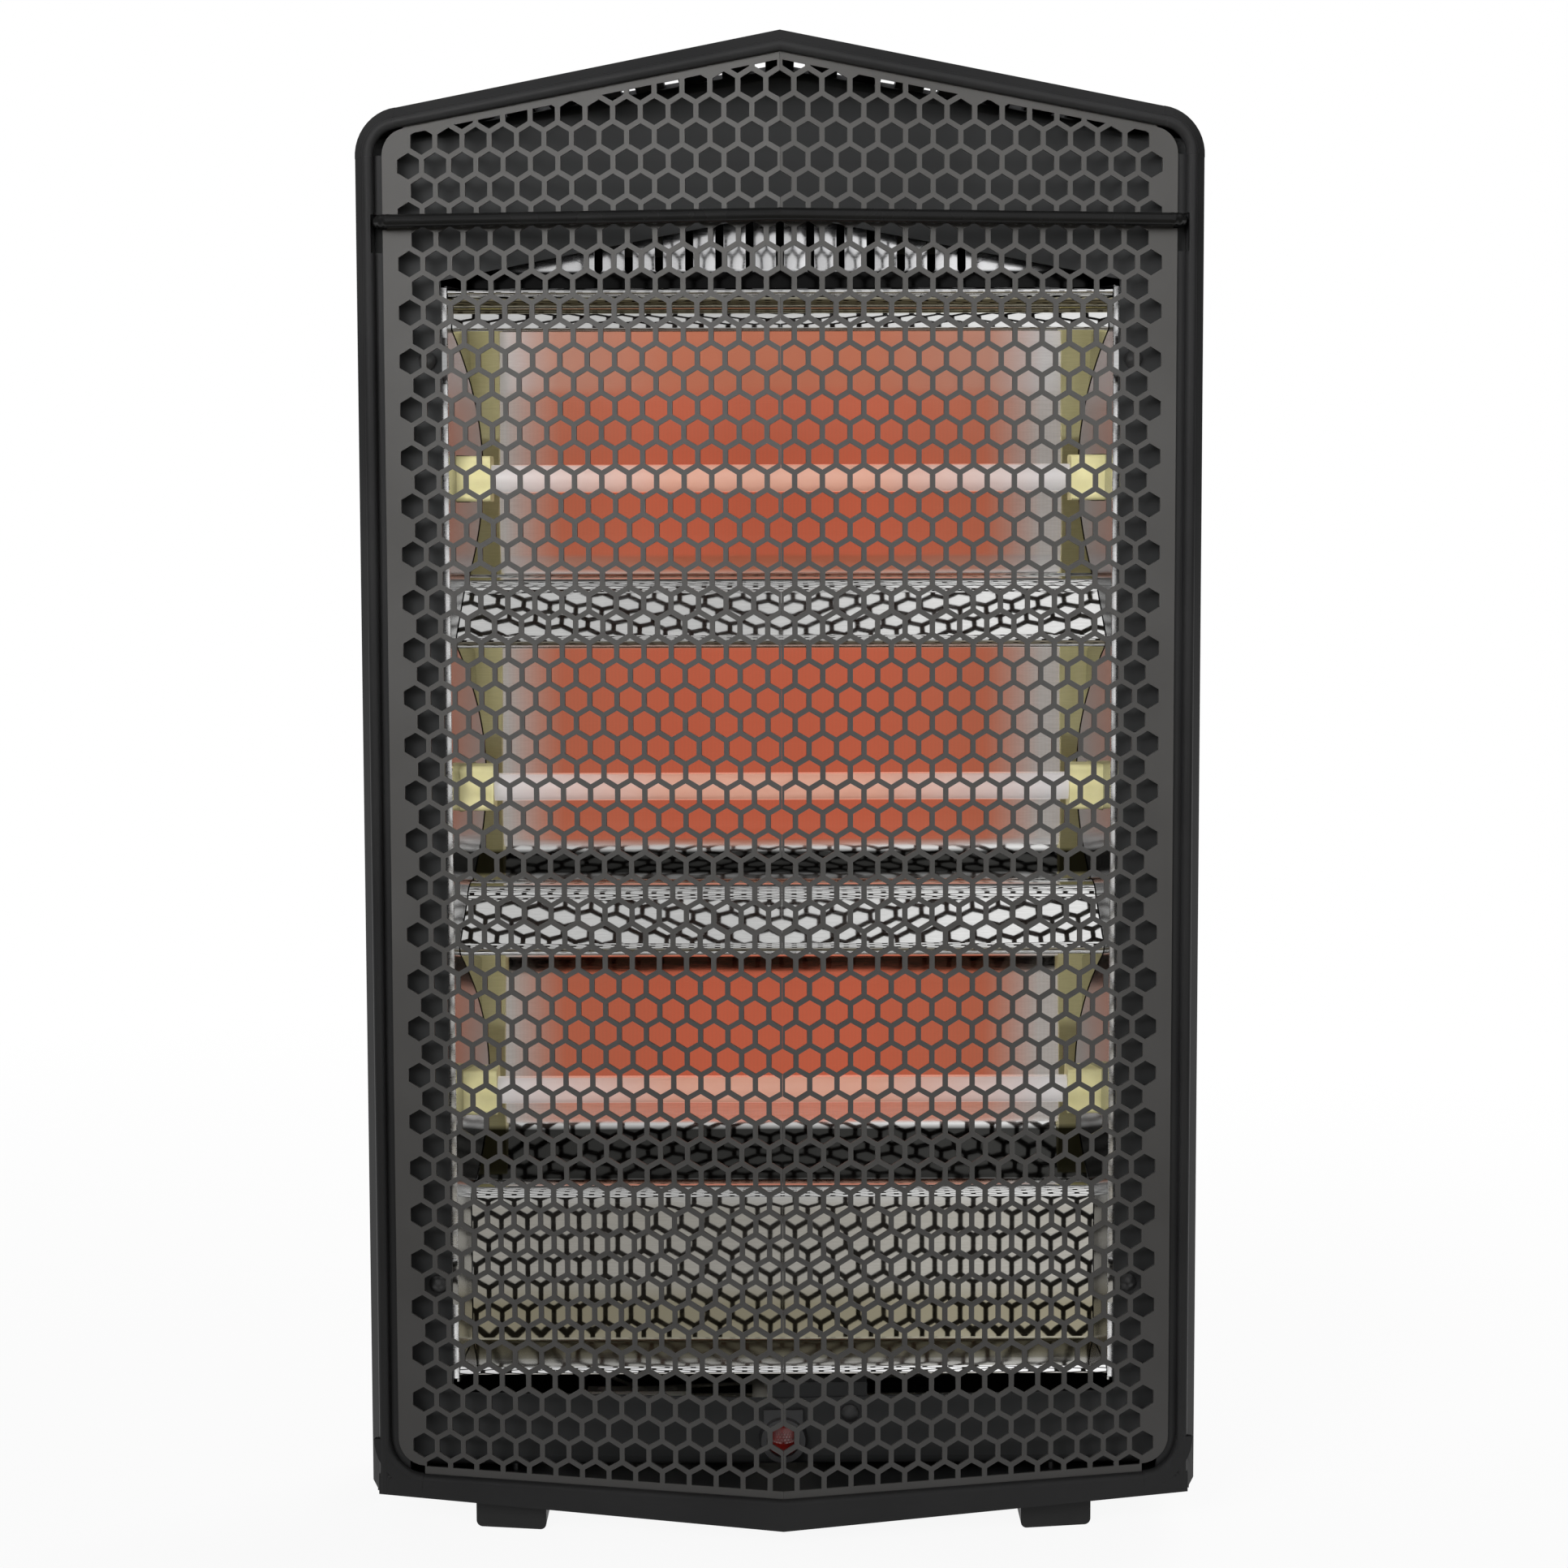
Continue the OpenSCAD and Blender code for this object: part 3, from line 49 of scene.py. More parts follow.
print("frame loaded,", len(nodes), "nodes")


# Small helpers for working as by hand

def clearSelection():
    if bpy.context.mode != "OBJECT":
        bpy.ops.object.mode_set(mode="OBJECT")
    bpy.ops.object.select_all(action="DESELECT")


def pick(piece):
    clearSelection()
    bpy.context.view_layer.objects.active = piece
    piece.select_set(True)


def openMesh(piece):  # edit mode, with the whole mesh selected
    pick(piece)
    bpy.ops.object.mode_set(mode="EDIT")
    bpy.ops.mesh.select_all(action="SELECT")


def closeMesh():
    bpy.ops.object.mode_set(mode="OBJECT")


def settle(piece):  # place, turn and size go into the mesh
    pick(piece)
    bpy.ops.object.transform_apply(location=True, rotation=True, scale=True)
    return piece


def applyAll(piece):
    pick(piece)
    for modifier in list(piece.modifiers):
        bpy.ops.object.modifier_apply(modifier=modifier.name)


def smooth(piece, degrees):
    pick(piece)
    bpy.ops.object.shade_smooth_by_angle(angle=math.radians(degrees))
    return piece


def bevel(piece, width, segments, degrees):
    rounding = piece.modifiers.new("edges", "BEVEL")
    rounding.width = width
    rounding.segments = segments
    rounding.limit_method = "ANGLE"
    rounding.angle_limit = math.radians(degrees)
    rounding.use_clamp_overlap = True
    applyAll(piece)


def bodyOf(node):
    for body, members in frame["record"]["behaviour"]["bodies"].items():
        if node in members:
            return body


def wear(piece, material):  # one material all over
    piece.data.materials.clear()
    piece.data.materials.append(material)


def finer(node, width, segments, degrees=35, smoothDegrees=40, mergeDistance=0.000004):
    # a merged copy of a CAD node with its edges eased, which stands for the node
    piece = bpy.data.objects.new(node + "_finish", nodes[node].data.copy())
    bpy.context.scene.collection.objects.link(piece)
    openMesh(piece)
    bpy.ops.mesh.remove_doubles(threshold=mergeDistance)
    closeMesh()
    bevel(piece, width, segments, degrees)
    smooth(piece, smoothDegrees)
    even = piece.modifiers.new("even", "WEIGHTED_NORMAL")  # flat faces stay flat in mirror light
    even.keep_sharp = True
    even.weight = 100
    applyAll(piece)
    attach(piece, bodyOf(node))
    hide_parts(node)


# Helpers for materials

def newMaterial(name):
    material = bpy.data.materials.new(name)
    material.use_nodes = True
    shader = material.node_tree.nodes["Principled BSDF"]
    return material, material.node_tree, shader


def addNode(tree, kind, **values):
    node = tree.nodes.new(kind)
    for key, value in values.items():
        if key in node.inputs:
            node.inputs[key].default_value = value
        else:
            setattr(node, key, value)
    return node


def feed(tree, socket, value):
    # a socket takes the output of another node, a colour or a number
    if isinstance(value, bpy.types.NodeSocket):
        tree.links.new(value, socket)
    elif socket.type == "RGBA":
        socket.default_value = (*value, 1)
    else:
        socket.default_value = value


def calculate(tree, operation, *values):
    node = addNode(tree, "ShaderNodeMath", operation=operation)
    for socket, value in zip(node.inputs, values):
        feed(tree, socket, value)
    return node.outputs["Value"]


def objectPlace(tree, stretch=None):
    place = addNode(tree, "ShaderNodeTexCoord").outputs["Object"]
    if stretch is None:
        return place
    mapping = addNode(tree, "ShaderNodeMapping", Scale=stretch)
    feed(tree, mapping.inputs["Vector"], place)
    return mapping.outputs["Vector"]


def axes(tree, vector):
    split = addNode(tree, "ShaderNodeSeparateXYZ")
    feed(tree, split.inputs["Vector"], vector)
    return split.outputs


def noise(tree, vector, scale, detail=2.0, roughness=0.5):
    texture = addNode(tree, "ShaderNodeTexNoise", Scale=scale, Detail=detail, Roughness=roughness)
    feed(tree, texture.inputs["Vector"], vector)
    return texture.outputs["Fac"]


def remap(tree, value, low, high, fromLow=0.3, fromHigh=0.7):
    # the usual span of a noise, or the one that is given, becomes the span from low to high
    node = addNode(tree, "ShaderNodeMapRange")
    spans = {"Value": value, "From Min": fromLow, "From Max": fromHigh, "To Min": low, "To Max": high}
    for name, given in spans.items():
        feed(tree, node.inputs[name], given)
    return node.outputs["Result"]


def between(tree, factor, low, high):  # low at factor 0, high at factor 1
    return remap(tree, factor, low, high, 0, 1)


mixSockets = {"first": 6, "second": 7, "result": 2}  # where a mix node has its colours


def colourMix(tree, factor, first, second):
    node = addNode(tree, "ShaderNodeMix", data_type="RGBA")
    feed(tree, node.inputs["Factor"], factor)
    feed(tree, node.inputs[mixSockets["first"]], first)
    feed(tree, node.inputs[mixSockets["second"]], second)
    return node.outputs[mixSockets["result"]]


def bumpFrom(tree, shader, height, strength, distance):
    node = addNode(tree, "ShaderNodeBump", Strength=strength, Distance=distance)
    feed(tree, node.inputs["Height"], height)
    feed(tree, shader.inputs["Normal"], node.outputs["Normal"])


# Painted and moulded finishes

def enamel(name, look):
    # fine grain, cloudy tone and gloss
    material, tree, shader = newMaterial(name)
    place = objectPlace(tree)
    cloud = noise(tree, place, look["cloud"], detail=4)
    grain = noise(tree, place, look["grain"])
    tone = colourMix(tree, remap(tree, cloud, 0, 1), look["dark"], look["light"])
    feed(tree, shader.inputs["Base Color"], tone)
    feed(tree, shader.inputs["Roughness"], remap(tree, cloud, *look["gloss"]))
    shader.inputs["Specular IOR Level"].default_value = look["specular"]
    shader.inputs["Metallic"].default_value = look.get("metal", 0)
    bumpFrom(tree, shader, grain, look["bump"], look["depth"])
    return material


enamels = {
    "frameMoulding": {
        "dark": (0.0142, 0.0142, 0.0145), "light": (0.0186, 0.0186, 0.0189), "cloud": 22, "grain": 2600,
        "gloss": (0.30, 0.38), "specular": 0.14, "bump": 0.10, "depth": 0.00006},
    "grilleEnamel": {
        "dark": (0.056, 0.0545, 0.0525), "light": (0.067, 0.0655, 0.0635), "cloud": 18, "grain": 1900,
        "gloss": (0.34, 0.42), "specular": 0.12, "bump": 0.10, "depth": 0.00006},
    "wireEnamel": {
        "dark": (0.005, 0.005, 0.005), "light": (0.007, 0.007, 0.007), "cloud": 60, "grain": 2200,
        "gloss": (0.22, 0.30), "specular": 0.16, "bump": 0.05, "depth": 0.00005},
    "panelEnamel": {
        "dark": (0.023, 0.0235, 0.0238), "light": (0.029, 0.0295, 0.0298), "cloud": 14, "grain": 2000,
        "gloss": (0.34, 0.42), "specular": 0.15, "bump": 0.08, "depth": 0.00006},
    "screwBlack": {
        "dark": (0.012, 0.012, 0.012), "light": (0.03, 0.03, 0.03), "cloud": 300, "grain": 3000,
        "gloss": (0.28, 0.40), "specular": 0.5, "bump": 0.08, "depth": 0.00004},
    "housingEnamel": {
        "dark": (0.014, 0.014, 0.015), "light": (0.019, 0.019, 0.020), "cloud": 12, "grain": 1500,
        "gloss": (0.42, 0.52), "specular": 0.25, "bump": 0.22, "depth": 0.00008},
    "footMoulding": {
        "dark": (0.012, 0.012, 0.012), "light": (0.018, 0.018, 0.018), "cloud": 40, "grain": 1700,
        "gloss": (0.46, 0.56), "specular": 0.22, "bump": 0.2, "depth": 0.00008},
    "bezelMoulding": {
        "dark": (0.030, 0.030, 0.031), "light": (0.040, 0.040, 0.041), "cloud": 120, "grain": 2600,
        "gloss": (0.36, 0.44), "specular": 0.45, "bump": 0.08, "depth": 0.00005},
    "knobMoulding": {
        "dark": (0.011, 0.011, 0.012), "light": (0.016, 0.016, 0.017), "cloud": 90, "grain": 2400,
        "gloss": (0.34, 0.44), "specular": 0.45, "bump": 0.1, "depth": 0.00005},
    "paleMoulding": {
        "dark": (0.58, 0.55, 0.48), "light": (0.66, 0.63, 0.56), "cloud": 70, "grain": 2000,
        "gloss": (0.4, 0.5), "specular": 0.45, "bump": 0.08, "depth": 0.00005},
    "plungerRed": {
        "dark": (0.32, 0.03, 0.02), "light": (0.40, 0.05, 0.03), "cloud": 90, "grain": 2200,
        "gloss": (0.36, 0.46), "specular": 0.45, "bump": 0.08, "depth": 0.00005},
    "glandRubber": {
        "dark": (0.010, 0.010, 0.010), "light": (0.016, 0.016, 0.016), "cloud": 90, "grain": 1600,
        "gloss": (0.6, 0.7), "specular": 0.35, "bump": 0.15, "depth": 0.00006},
    "wireSleeve": {
        "dark": (0.42, 0.39, 0.33), "light": (0.58, 0.55, 0.48), "cloud": 500, "grain": 2600,
        "gloss": (0.6, 0.75), "specular": 0.3, "bump": 0.4, "depth": 0.0001},
    "zincSteel": {
        "dark": (0.42, 0.42, 0.43), "light": (0.58, 0.58, 0.59), "cloud": 260, "grain": 3200,
        "gloss": (0.26, 0.4), "specular": 0.5, "bump": 0.06, "depth": 0.00004, "metal": 1},
}
finishes = {name: enamel(name, look) for name, look in enamels.items()}


# Polished sheet

def alongTube(tree, look):
    # the axes of the place, and a value that is 0 at the glowing middle of a tube and 1 at its cold ends
    place = axes(tree, objectPlace(tree))
    away = calculate(tree, "ABSOLUTE", calculate(tree, "SUBTRACT", place["X"], look["middle"]))
    return place, remap(tree, away, 0, 1, look["core"], look["reach"])


def heightBands(tree, height, bands):
    # 1 between each pair of heights in mm, with a soft step of the given width at both ends
    total = None
    for low, high, step in bands:
        rising = remap(tree, height, 0, 1, (low - step) * mm, low * mm)
        falling = remap(tree, height, 1, 0, high * mm, (high + step) * mm)
        band = calculate(tree, "MULTIPLY", rising, falling)
        total = band if total is None else calculate(tree, "MAXIMUM", total, band)
    return total


def polishedSheet(name, look):
    # bright rolled sheet: slow waves from pressing, and fine rolling lines
    material, tree, shader = newMaterial(name)
    place = objectPlace(tree)
    height = axes(tree, place)["Z"]
    wave = noise(tree, place, look["wave"], detail=1.5, roughness=0.4)
    haze = noise(tree, objectPlace(tree, stretch=(40, 400, 400)), scale=4, detail=3)
    tone = colourMix(tree, remap(tree, haze, 0, 1), look["dark"], look["light"])
    if "glow" in look:  # painted reflection: the troughs are tinted orange where they would mirror their glowing coils
        glow = look["glow"]
        fade = alongTube(tree, glow)[1]
        share = between(tree, fade, glow["share"], 0)
        paintedCoilReflection = calculate(tree, "MULTIPLY", heightBands(tree, height, glow["bands"]), share)
        tone = colourMix(tree, paintedCoilReflection, tone, glow["tint"])
    for tint, bands in look.get("paintedShadeAndHighlight", ()):  # painted shade and painted highlight: strips that would mirror something dark, dull or bright are tinted darker, duller or brighter
        tone = colourMix(tree, heightBands(tree, height, bands), tone, tint)
    feed(tree, shader.inputs["Base Color"], tone)
    feed(tree, shader.inputs["Roughness"], remap(tree, haze, *look["gloss"]))
    shader.inputs["Metallic"].default_value = 1
    if "lean" in look:  # the sheet seems to lean, because its height counts as depth
        leaning = calculate(tree, "MULTIPLY", height, look["lean"])
        wave = calculate(tree, "MULTIPLY_ADD", wave, look["waviness"], leaning)
    bumpFrom(tree, shader, wave, look["bump"], look["depth"])
    return material


heatMiddle = -3 * mm  # the tubes glow a little left of their middle
sheets = {  # each band has its low and high edge and its soft step, in mm; each painted shade or highlight a tint and its bands
    "reflectorPolish": {
        "dark": (0.70, 0.70, 0.69), "light": (0.77, 0.77, 0.76), "wave": 26, "gloss": (0.03, 0.06),
        "bump": 0.10, "depth": 0.0006,
        # painted reflection of the glowing coils: an orange tint in height bands, fading towards the tube
        # ends
        "glow": {
            "middle": heatMiddle, "core": 0.086, "reach": 0.108, "share": 0.90, "tint": (0.65, 0.37, 0.27),
            "bands": ((385, 478.5, 1.5), (275, 354.5, 2), (167, 230, 2))},
        # painted shade: near-black strips below the middle and bottom troughs; painted reflection: an olive
        # strip under the rim and a beige apron; painted highlight: white strips at the rim and the lower lip
        "paintedShadeAndHighlight": (
            ((0.038, 0.038, 0.036), ((262.5, 270, 1.5), (137.2, 155, 2))),
            ((0.40, 0.375, 0.29), ((486, 491.4, 0.8),)),
            ((0.50, 0.47, 0.36), ((73, 86, 12),)),
            ((0.97, 0.97, 0.97), ((492.6, 500, 0.4), (55, 66.5, 0.5))))},
    "endPolish": {
        "dark": (0.50, 0.50, 0.50), "light": (0.58, 0.58, 0.58), "wave": 24, "gloss": (0.10, 0.16),
        "bump": 0.05, "depth": 0.0006},
    "lipPolish": {
        "dark": (0.86, 0.86, 0.86), "light": (0.93, 0.93, 0.93), "wave": 40, "gloss": (0.24, 0.32),
        "bump": 0.05, "depth": 0.0006},
    "shieldPolish": {
        "dark": (0.86, 0.86, 0.87), "light": (0.93, 0.93, 0.94), "wave": 30, "gloss": (0.05, 0.09),
        "lean": 60, "waviness": 0.12, "bump": 1.0, "depth": 0.0010,
        # painted shade: the shield is tinted near black below its slots
        "paintedShadeAndHighlight": (((0.015, 0.015, 0.015), ((400, 505.5, 1.0),)),)},
}
for name, look in sheets.items():
    finishes[name] = polishedSheet(name, look)


# Ceramic, quartz, glowing wire and lens

def ceramic(name, look):
    material, tree, shader = newMaterial(name)
    place = objectPlace(tree)
    speck = noise(tree, place, look["speck"], detail=4)
    tone = colourMix(tree, remap(tree, speck, 0, 1), look["dark"], look["light"])
    feed(tree, shader.inputs["Base Color"], tone)
    # painted glow: the caps emit a little light in their own colour, so they look brighter than their
    # lighting makes them
    feed(tree, shader.inputs["Emission Color"], tone)
    shader.inputs["Emission Strength"].default_value = look["glow"]
    shader.inputs["Roughness"].default_value = look["gloss"]
    shader.inputs["Specular IOR Level"].default_value = look["specular"]
    bumpFrom(tree, shader, noise(tree, place, look["grain"], detail=3), look["bump"], look["depth"])
    return material


finishes["capCeramic"] = ceramic("capCeramic", {
    "speck": 160, "dark": (0.70, 0.64, 0.32), "light": (0.78, 0.72, 0.40), "glow": 0.10, "gloss": 0.55,
    "specular": 0.35, "grain": 1400, "bump": 0.25, "depth": 0.00008})


def heatRamp(tree, fade, look):
    ramp = addNode(tree, "ShaderNodeValToRGB")
    ramp.color_ramp.elements[0].position = 0.0
    ramp.color_ramp.elements[0].color = (*look["hot"], 1)
    ramp.color_ramp.elements[1].position = 1.0
    ramp.color_ramp.elements[1].color = (*look["cold"], 1)
    warm = ramp.color_ramp.elements.new(look["warmAt"])
    warm.color = (*look["warm"], 1)
    feed(tree, ramp.inputs["Fac"], fade)
    return ramp.outputs["Color"]


def quartz(name, look):
    # painted glow: the glass itself emits, pale and milky towards the front, and at the back with the coil's
    # glow and its fine windings
    material, tree, shader = newMaterial(name)
    place, fade = alongTube(tree, look)
    glow = heatRamp(tree, fade, look)
    winding = addNode(tree, "ShaderNodeTexWave", wave_type="BANDS", bands_direction="X",
                      Scale=look["windings"], Distortion=look["uneven"])
    feed(tree, winding.inputs["Vector"], objectPlace(tree))
    paintedWindings = colourMix(tree, between(tree, winding.outputs["Fac"], 0, look["lines"]), glow, look["gap"])
    frontGlow = colourMix(tree, fade, look["frontGlowHot"], look["frontGlowCold"])
    forward = calculate(tree, "SUBTRACT", tubeCentreY, place["Y"])
    front = remap(tree, forward, 0, 1, *look["frontSpan"])
    feed(tree, shader.inputs["Emission Color"], colourMix(tree, front, paintedWindings, frontGlow))
    patch = noise(tree, objectPlace(tree, look["patchStretch"]), look["patch"])
    feed(tree, shader.inputs["Emission Strength"], remap(tree, patch, *look["glow"]))
    feed(tree, shader.inputs["Alpha"], between(tree, front, look["backAlpha"], look["frontAlpha"]))
    frontTone = colourMix(tree, fade, look["frontHot"], look["frontCold"])
    feed(tree, shader.inputs["Base Color"], colourMix(tree, front, look["backTone"], frontTone))
    shader.inputs["Roughness"].default_value = look["gloss"]
    drawn = noise(tree, objectPlace(tree, look["drawnStretch"]), look["drawn"])
    bumpFrom(tree, shader, drawn, look["bump"], look["depth"])
    return material


def glowingWire(name, look):
    # bright at the middle of its length and grey at its ends
    material, tree, shader = newMaterial(name)
    fade = alongTube(tree, look)[1]
    patch = noise(tree, objectPlace(tree, look["patchStretch"]), look["patch"])
    feed(tree, shader.inputs["Emission Color"], heatRamp(tree, fade, look))
    feed(tree, shader.inputs["Emission Strength"], remap(tree, patch, *look["glow"]))
    feed(tree, shader.inputs["Base Color"], look["metal"])
    shader.inputs["Roughness"].default_value = look["gloss"]
    return material


heat = {"middle": heatMiddle, "core": 0.040, "reach": 0.110, "warmAt": 0.66, "hot": (0.65, 0.222, 0.15),
        "warm": (0.56, 0.24, 0.17), "patchStretch": (1, 0.2, 0.2)}
finishes["quartzPaintedGlow"] = quartz("quartzPaintedGlow", {
    **heat, "cold": (0.40, 0.375, 0.355), "patch": 16, "glow": (0.92, 1.08),
    "windings": 200, "uneven": 0.6, "lines": 0.16, "gap": (0.30, 0.22, 0.18),
    "frontGlowHot": (0.37, 0.165, 0.115), "frontGlowCold": (0.29, 0.28, 0.28), "frontSpan": (1.7 * mm, 2.2 * mm),
    "backAlpha": 0.86, "frontAlpha": 0.92, "backTone": (0.10, 0.08, 0.07),
    "frontHot": (0.36, 0.25, 0.20), "frontCold": (0.40, 0.38, 0.38), "gloss": 0.18,
    "drawnStretch": (30, 300, 300), "drawn": 6, "bump": 0.05, "depth": 0.0002})
finishes["coilGlow"] = glowingWire("coilGlow", {
    **heat, "cold": (0.30, 0.28, 0.26), "patch": 9, "glow": (0.9, 1.1), "metal": (0.16, 0.14, 0.13),
    "gloss": 0.5})


def clearLens(name, look):
    material, tree, shader = newMaterial(name)
    depth = noise(tree, objectPlace(tree), look["grain"])
    tone = colourMix(tree, remap(tree, depth, 0, 1), look["dark"], look["light"])
    feed(tree, shader.inputs["Base Color"], tone)
    shader.inputs["Roughness"].default_value = look["gloss"]
    shader.inputs["Coat Weight"].default_value = look["coat"]
    shader.inputs["Coat Roughness"].default_value = look["coatGloss"]
    return material


finishes["redLens"] = clearLens("redLens", {
    "grain": 220, "dark": (0.085, 0.006, 0.005), "light": (0.15, 0.010, 0.008), "gloss": 0.06, "coat": 0.8,
    "coatGloss": 0.03})
print("materials made,", len(finishes))


# Reflector: one smooth polished sheet that follows the CAD troughs

reflectorForm = {  # sizes in mm, angles in degrees; names that end in V are depths behind the fold
    "top": 495.2, "rimV": 36, "halfWidth": 130.2, "slope": 10 / 38.6, "thick": 0.7, "columns": 26,
    "smooth": 30, "roll": 1.5, "rollFrom": 60, "rollTurn": 180, "rollSteps": 8, "quarterSteps": 12,
    "bulge": 5.2, "bulgeBack": 0.4, "strip": 7.0, "stripBack": 0.25, "stripDrop": 0.3,
    "tubes": [height / mm for height in tubeHeights.values()], "troughV": 74.6, "focusUp": 22.43,
    "focusLow": 25.91, "rise": 3.3, "up": 58.2, "down": 38.0, "troughSteps": 72,
    "topCrest": 1.5, "crest": 4.2, "waist": 8, "apronV": 52, "apronLow": 72, "hollow": 0.3, "apronSteps": 12,
    "heel": 1.2, "lip": ((39.4, 65.8), (36.9, 64.7), (36.2, 63.4), (36.2, 61.8)),
}


def troughDepth(form, above):
    focus = form["focusUp"] if above > 0 else form["focusLow"]
    return form["troughV"] - above * above / (4 * focus)


def bend(centre, radius, start, turn, steps, first=0):
    # points round a centre, from the start angle through the turn
    points = []
    for i in range(first, steps + 1):
        angle = math.radians(start + turn * i / steps)
        points.append((centre[0] + radius * math.cos(angle), centre[1] + radius * math.sin(angle)))
    return points


def roundCorner(points, corner, radius, steps=12):
    # the corner of a line becomes an arc that touches both sides
    at = Vector(points[corner])
    before = (Vector(points[corner - 1]) - at).normalized()
    after = (Vector(points[corner + 1]) - at).normalized()
    half = (math.pi - before.angle(after)) / 2
    reach = radius * math.tan(half)
    first = at + before * reach
    last = at + after * reach
    arc = []
    for i in range(steps + 1):
        share = i / steps
        weights = ((1 - share) ** 2, 2 * share * (1 - share) * math.cos(half), share * share)
        spot = (first * weights[0] + at * weights[1] + last * weights[2]) / sum(weights)
        arc.append((spot.x, spot.y))
    head = [point for point in points[:corner] if (Vector(point) - at).length > reach]
    tail = [point for point in points[corner + 1:] if (Vector(point) - at).length > reach]
    return head + arc + tail


def reflectorProfile(form):
    # points from the upper rim to the lower one: depth behind the fold, and height
    upV = troughDepth(form, form["up"] - form["rise"])
    stripTop = form["tubes"][0] + form["up"] + form["strip"]
    roll = form["roll"]
    bulge = form["bulge"]
    quarter = form["quarterSteps"]
    # rolled rim, from its back round its front to its underside
    points = bend((form["rimV"] + roll, form["top"] - roll), roll, form["rollFrom"], form["rollTurn"],
                  form["rollSteps"])
    # round bulge between the rim and the strip above the top trough
    points += bend((upV + form["bulgeBack"], stripTop + bulge), bulge, 180, 90, quarter)
    points.append((upV + form["stripBack"], stripTop - form["stripDrop"]))
    corners = []
    for tube in form["tubes"]:
        crest = len(points)
        for i in range(form["troughSteps"] + 1):
            above = form["up"] - (form["up"] + form["down"]) * i / form["troughSteps"] - form["rise"]
            points.append((troughDepth(form, above), tube + form["rise"] + above))
        corners.append((points[crest], form["crest"] if corners else form["topCrest"]))
        # bead below the trough, from its top round to its front
        deep, high = points[-1]
        bead = deep - form["apronV"]
        points += bend((deep, high - bead), bead, 90, 90, quarter, first=1)
        if tube != form["tubes"][-1]:
            corners.append((points[-1], form["waist"]))
    # apron, a little hollow, and the small lip below it
    apronTop = points[-1][1]
    for i in range(1, form["apronSteps"]):
        share = i / form["apronSteps"]
        height = apronTop + (form["apronLow"] - apronTop) * share
        points.append((form["apronV"] + form["hollow"] * (1 - (2 * share - 1) ** 2), height))
    heel = (form["apronV"], form["apronLow"])
    corners.append((heel, form["heel"]))
    points += [heel, *form["lip"]]
    for spot, radius in corners:
        points = roundCorner(points, points.index(spot), radius)
    return points


def makeReflector(form):
    points = reflectorProfile(form)
    columns = form["columns"]
    bpy.ops.mesh.primitive_grid_add(x_subdivisions=columns, y_subdivisions=len(points) - 1, size=1)
    piece = bpy.context.object
    piece.name = "reflector_sheet"
    for vertex in piece.data.vertices:
        row, column = divmod(vertex.index, columns + 1)
        depth, height = points[len(points) - 1 - row]
        half = form["halfWidth"] - max(0, depth - form["rimV"]) * form["slope"]
        across = half * (2 * column / columns - 1)
        vertex.co = (across * mm, foldY + depth * mm, height * mm)
    openMesh(piece)
    bpy.ops.mesh.normals_make_consistent(inside=False)
    closeMesh()
    wall = piece.modifiers.new("sheet", "SOLIDIFY")
    wall.thickness = form["thick"] * mm
    wall.offset = -1
    applyAll(piece)
    return smooth(piece, form["smooth"])


clearSelection()
reflector = makeReflector(reflectorForm)
wear(reflector, finishes["reflectorPolish"])
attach(reflector, "heater")
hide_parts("reflector")
print("reflector made,", len(reflector.data.polygons), "faces")


lipForm = {"x": 131.9, "depth": 35.6, "low": 60.2, "high": 495.6, "wide": 3.2, "thick": 1.0, "round": 0.42,
           "segments": 4, "sharp": 60, "smooth": 40}


def makeSideLip(side, sign, form):
    # the folded front edge of an end plate, rounded along its length
    clearSelection()
    middle = (sign * form["x"] * mm, foldY + form["depth"] * mm, (form["low"] + form["high"]) / 2 * mm)
    bpy.ops.mesh.primitive_cube_add(size=1, location=middle)
    piece = bpy.context.object
    piece.name = "reflector_lip_" + side
    piece.scale = (form["wide"] * mm, form["thick"] * mm, (form["high"] - form["low"]) * mm)
    settle(piece)
    bevel(piece, form["round"] * mm, form["segments"], form["sharp"])
    smooth(piece, form["smooth"])
    wear(piece, finishes["lipPolish"])
    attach(piece, "heater")


makeSideLip("left", -1, lipForm)
makeSideLip("right", 1, lipForm)
print("reflector lips made")


# Heating coils: a close winding in each tube, and the plunger's spring wound in the same way

coilForm = {"radius": 3.78, "wire": 0.30, "pitch": 0.78, "turns": 252, "steps": 14, "sides": 6, "lean": 90,
            "smooth": 50}


def makeCoil(name, form, centre):
    clearSelection()
    bpy.ops.mesh.primitive_circle_add(vertices=form["sides"], radius=form["wire"] * mm, location=(0, 0, 0))
    piece = bpy.context.object
    piece.name = name
    openMesh(piece)
    bpy.ops.transform.rotate(value=math.radians(90), orient_axis="X", center_override=(0, 0, 0))
    bpy.ops.transform.translate(value=(form["radius"] * mm, 0, 0))
    closeMesh()
    winding = piece.modifiers.new("winding", "SCREW")
    winding.axis = "Z"
    winding.angle = math.radians(360)
    winding.screw_offset = form["pitch"] * mm
    winding.iterations = form["turns"]
    winding.steps = form["steps"]
    winding.render_steps = form["steps"]
    winding.use_merge_vertices = False
    applyAll(piece)
    half = form["pitch"] * form["turns"] * mm / 2
    leaning = Matrix.Rotation(math.radians(form["lean"]), 4, "Y")
    piece.data.transform(Matrix.Translation(centre) @ leaning @ Matrix.Translation((0, 0, -half)))
    openMesh(piece)
    bpy.ops.mesh.normals_make_consistent(inside=False)
    bpy.ops.mesh.select_all(action="DESELECT")
    bpy.ops.mesh.select_mode(type="EDGE")
    bpy.ops.mesh.select_non_manifold()
    bpy.ops.mesh.edge_face_add()
    closeMesh()
    return smooth(piece, form["smooth"])


for which, height in tubeHeights.items():
    coil = makeCoil("winding_" + which, coilForm, Vector((heatMiddle, tubeCentreY, height)))
    wear(coil, finishes["coilGlow"])
    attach(coil, "heater")
    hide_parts("heating_coil_" + which)

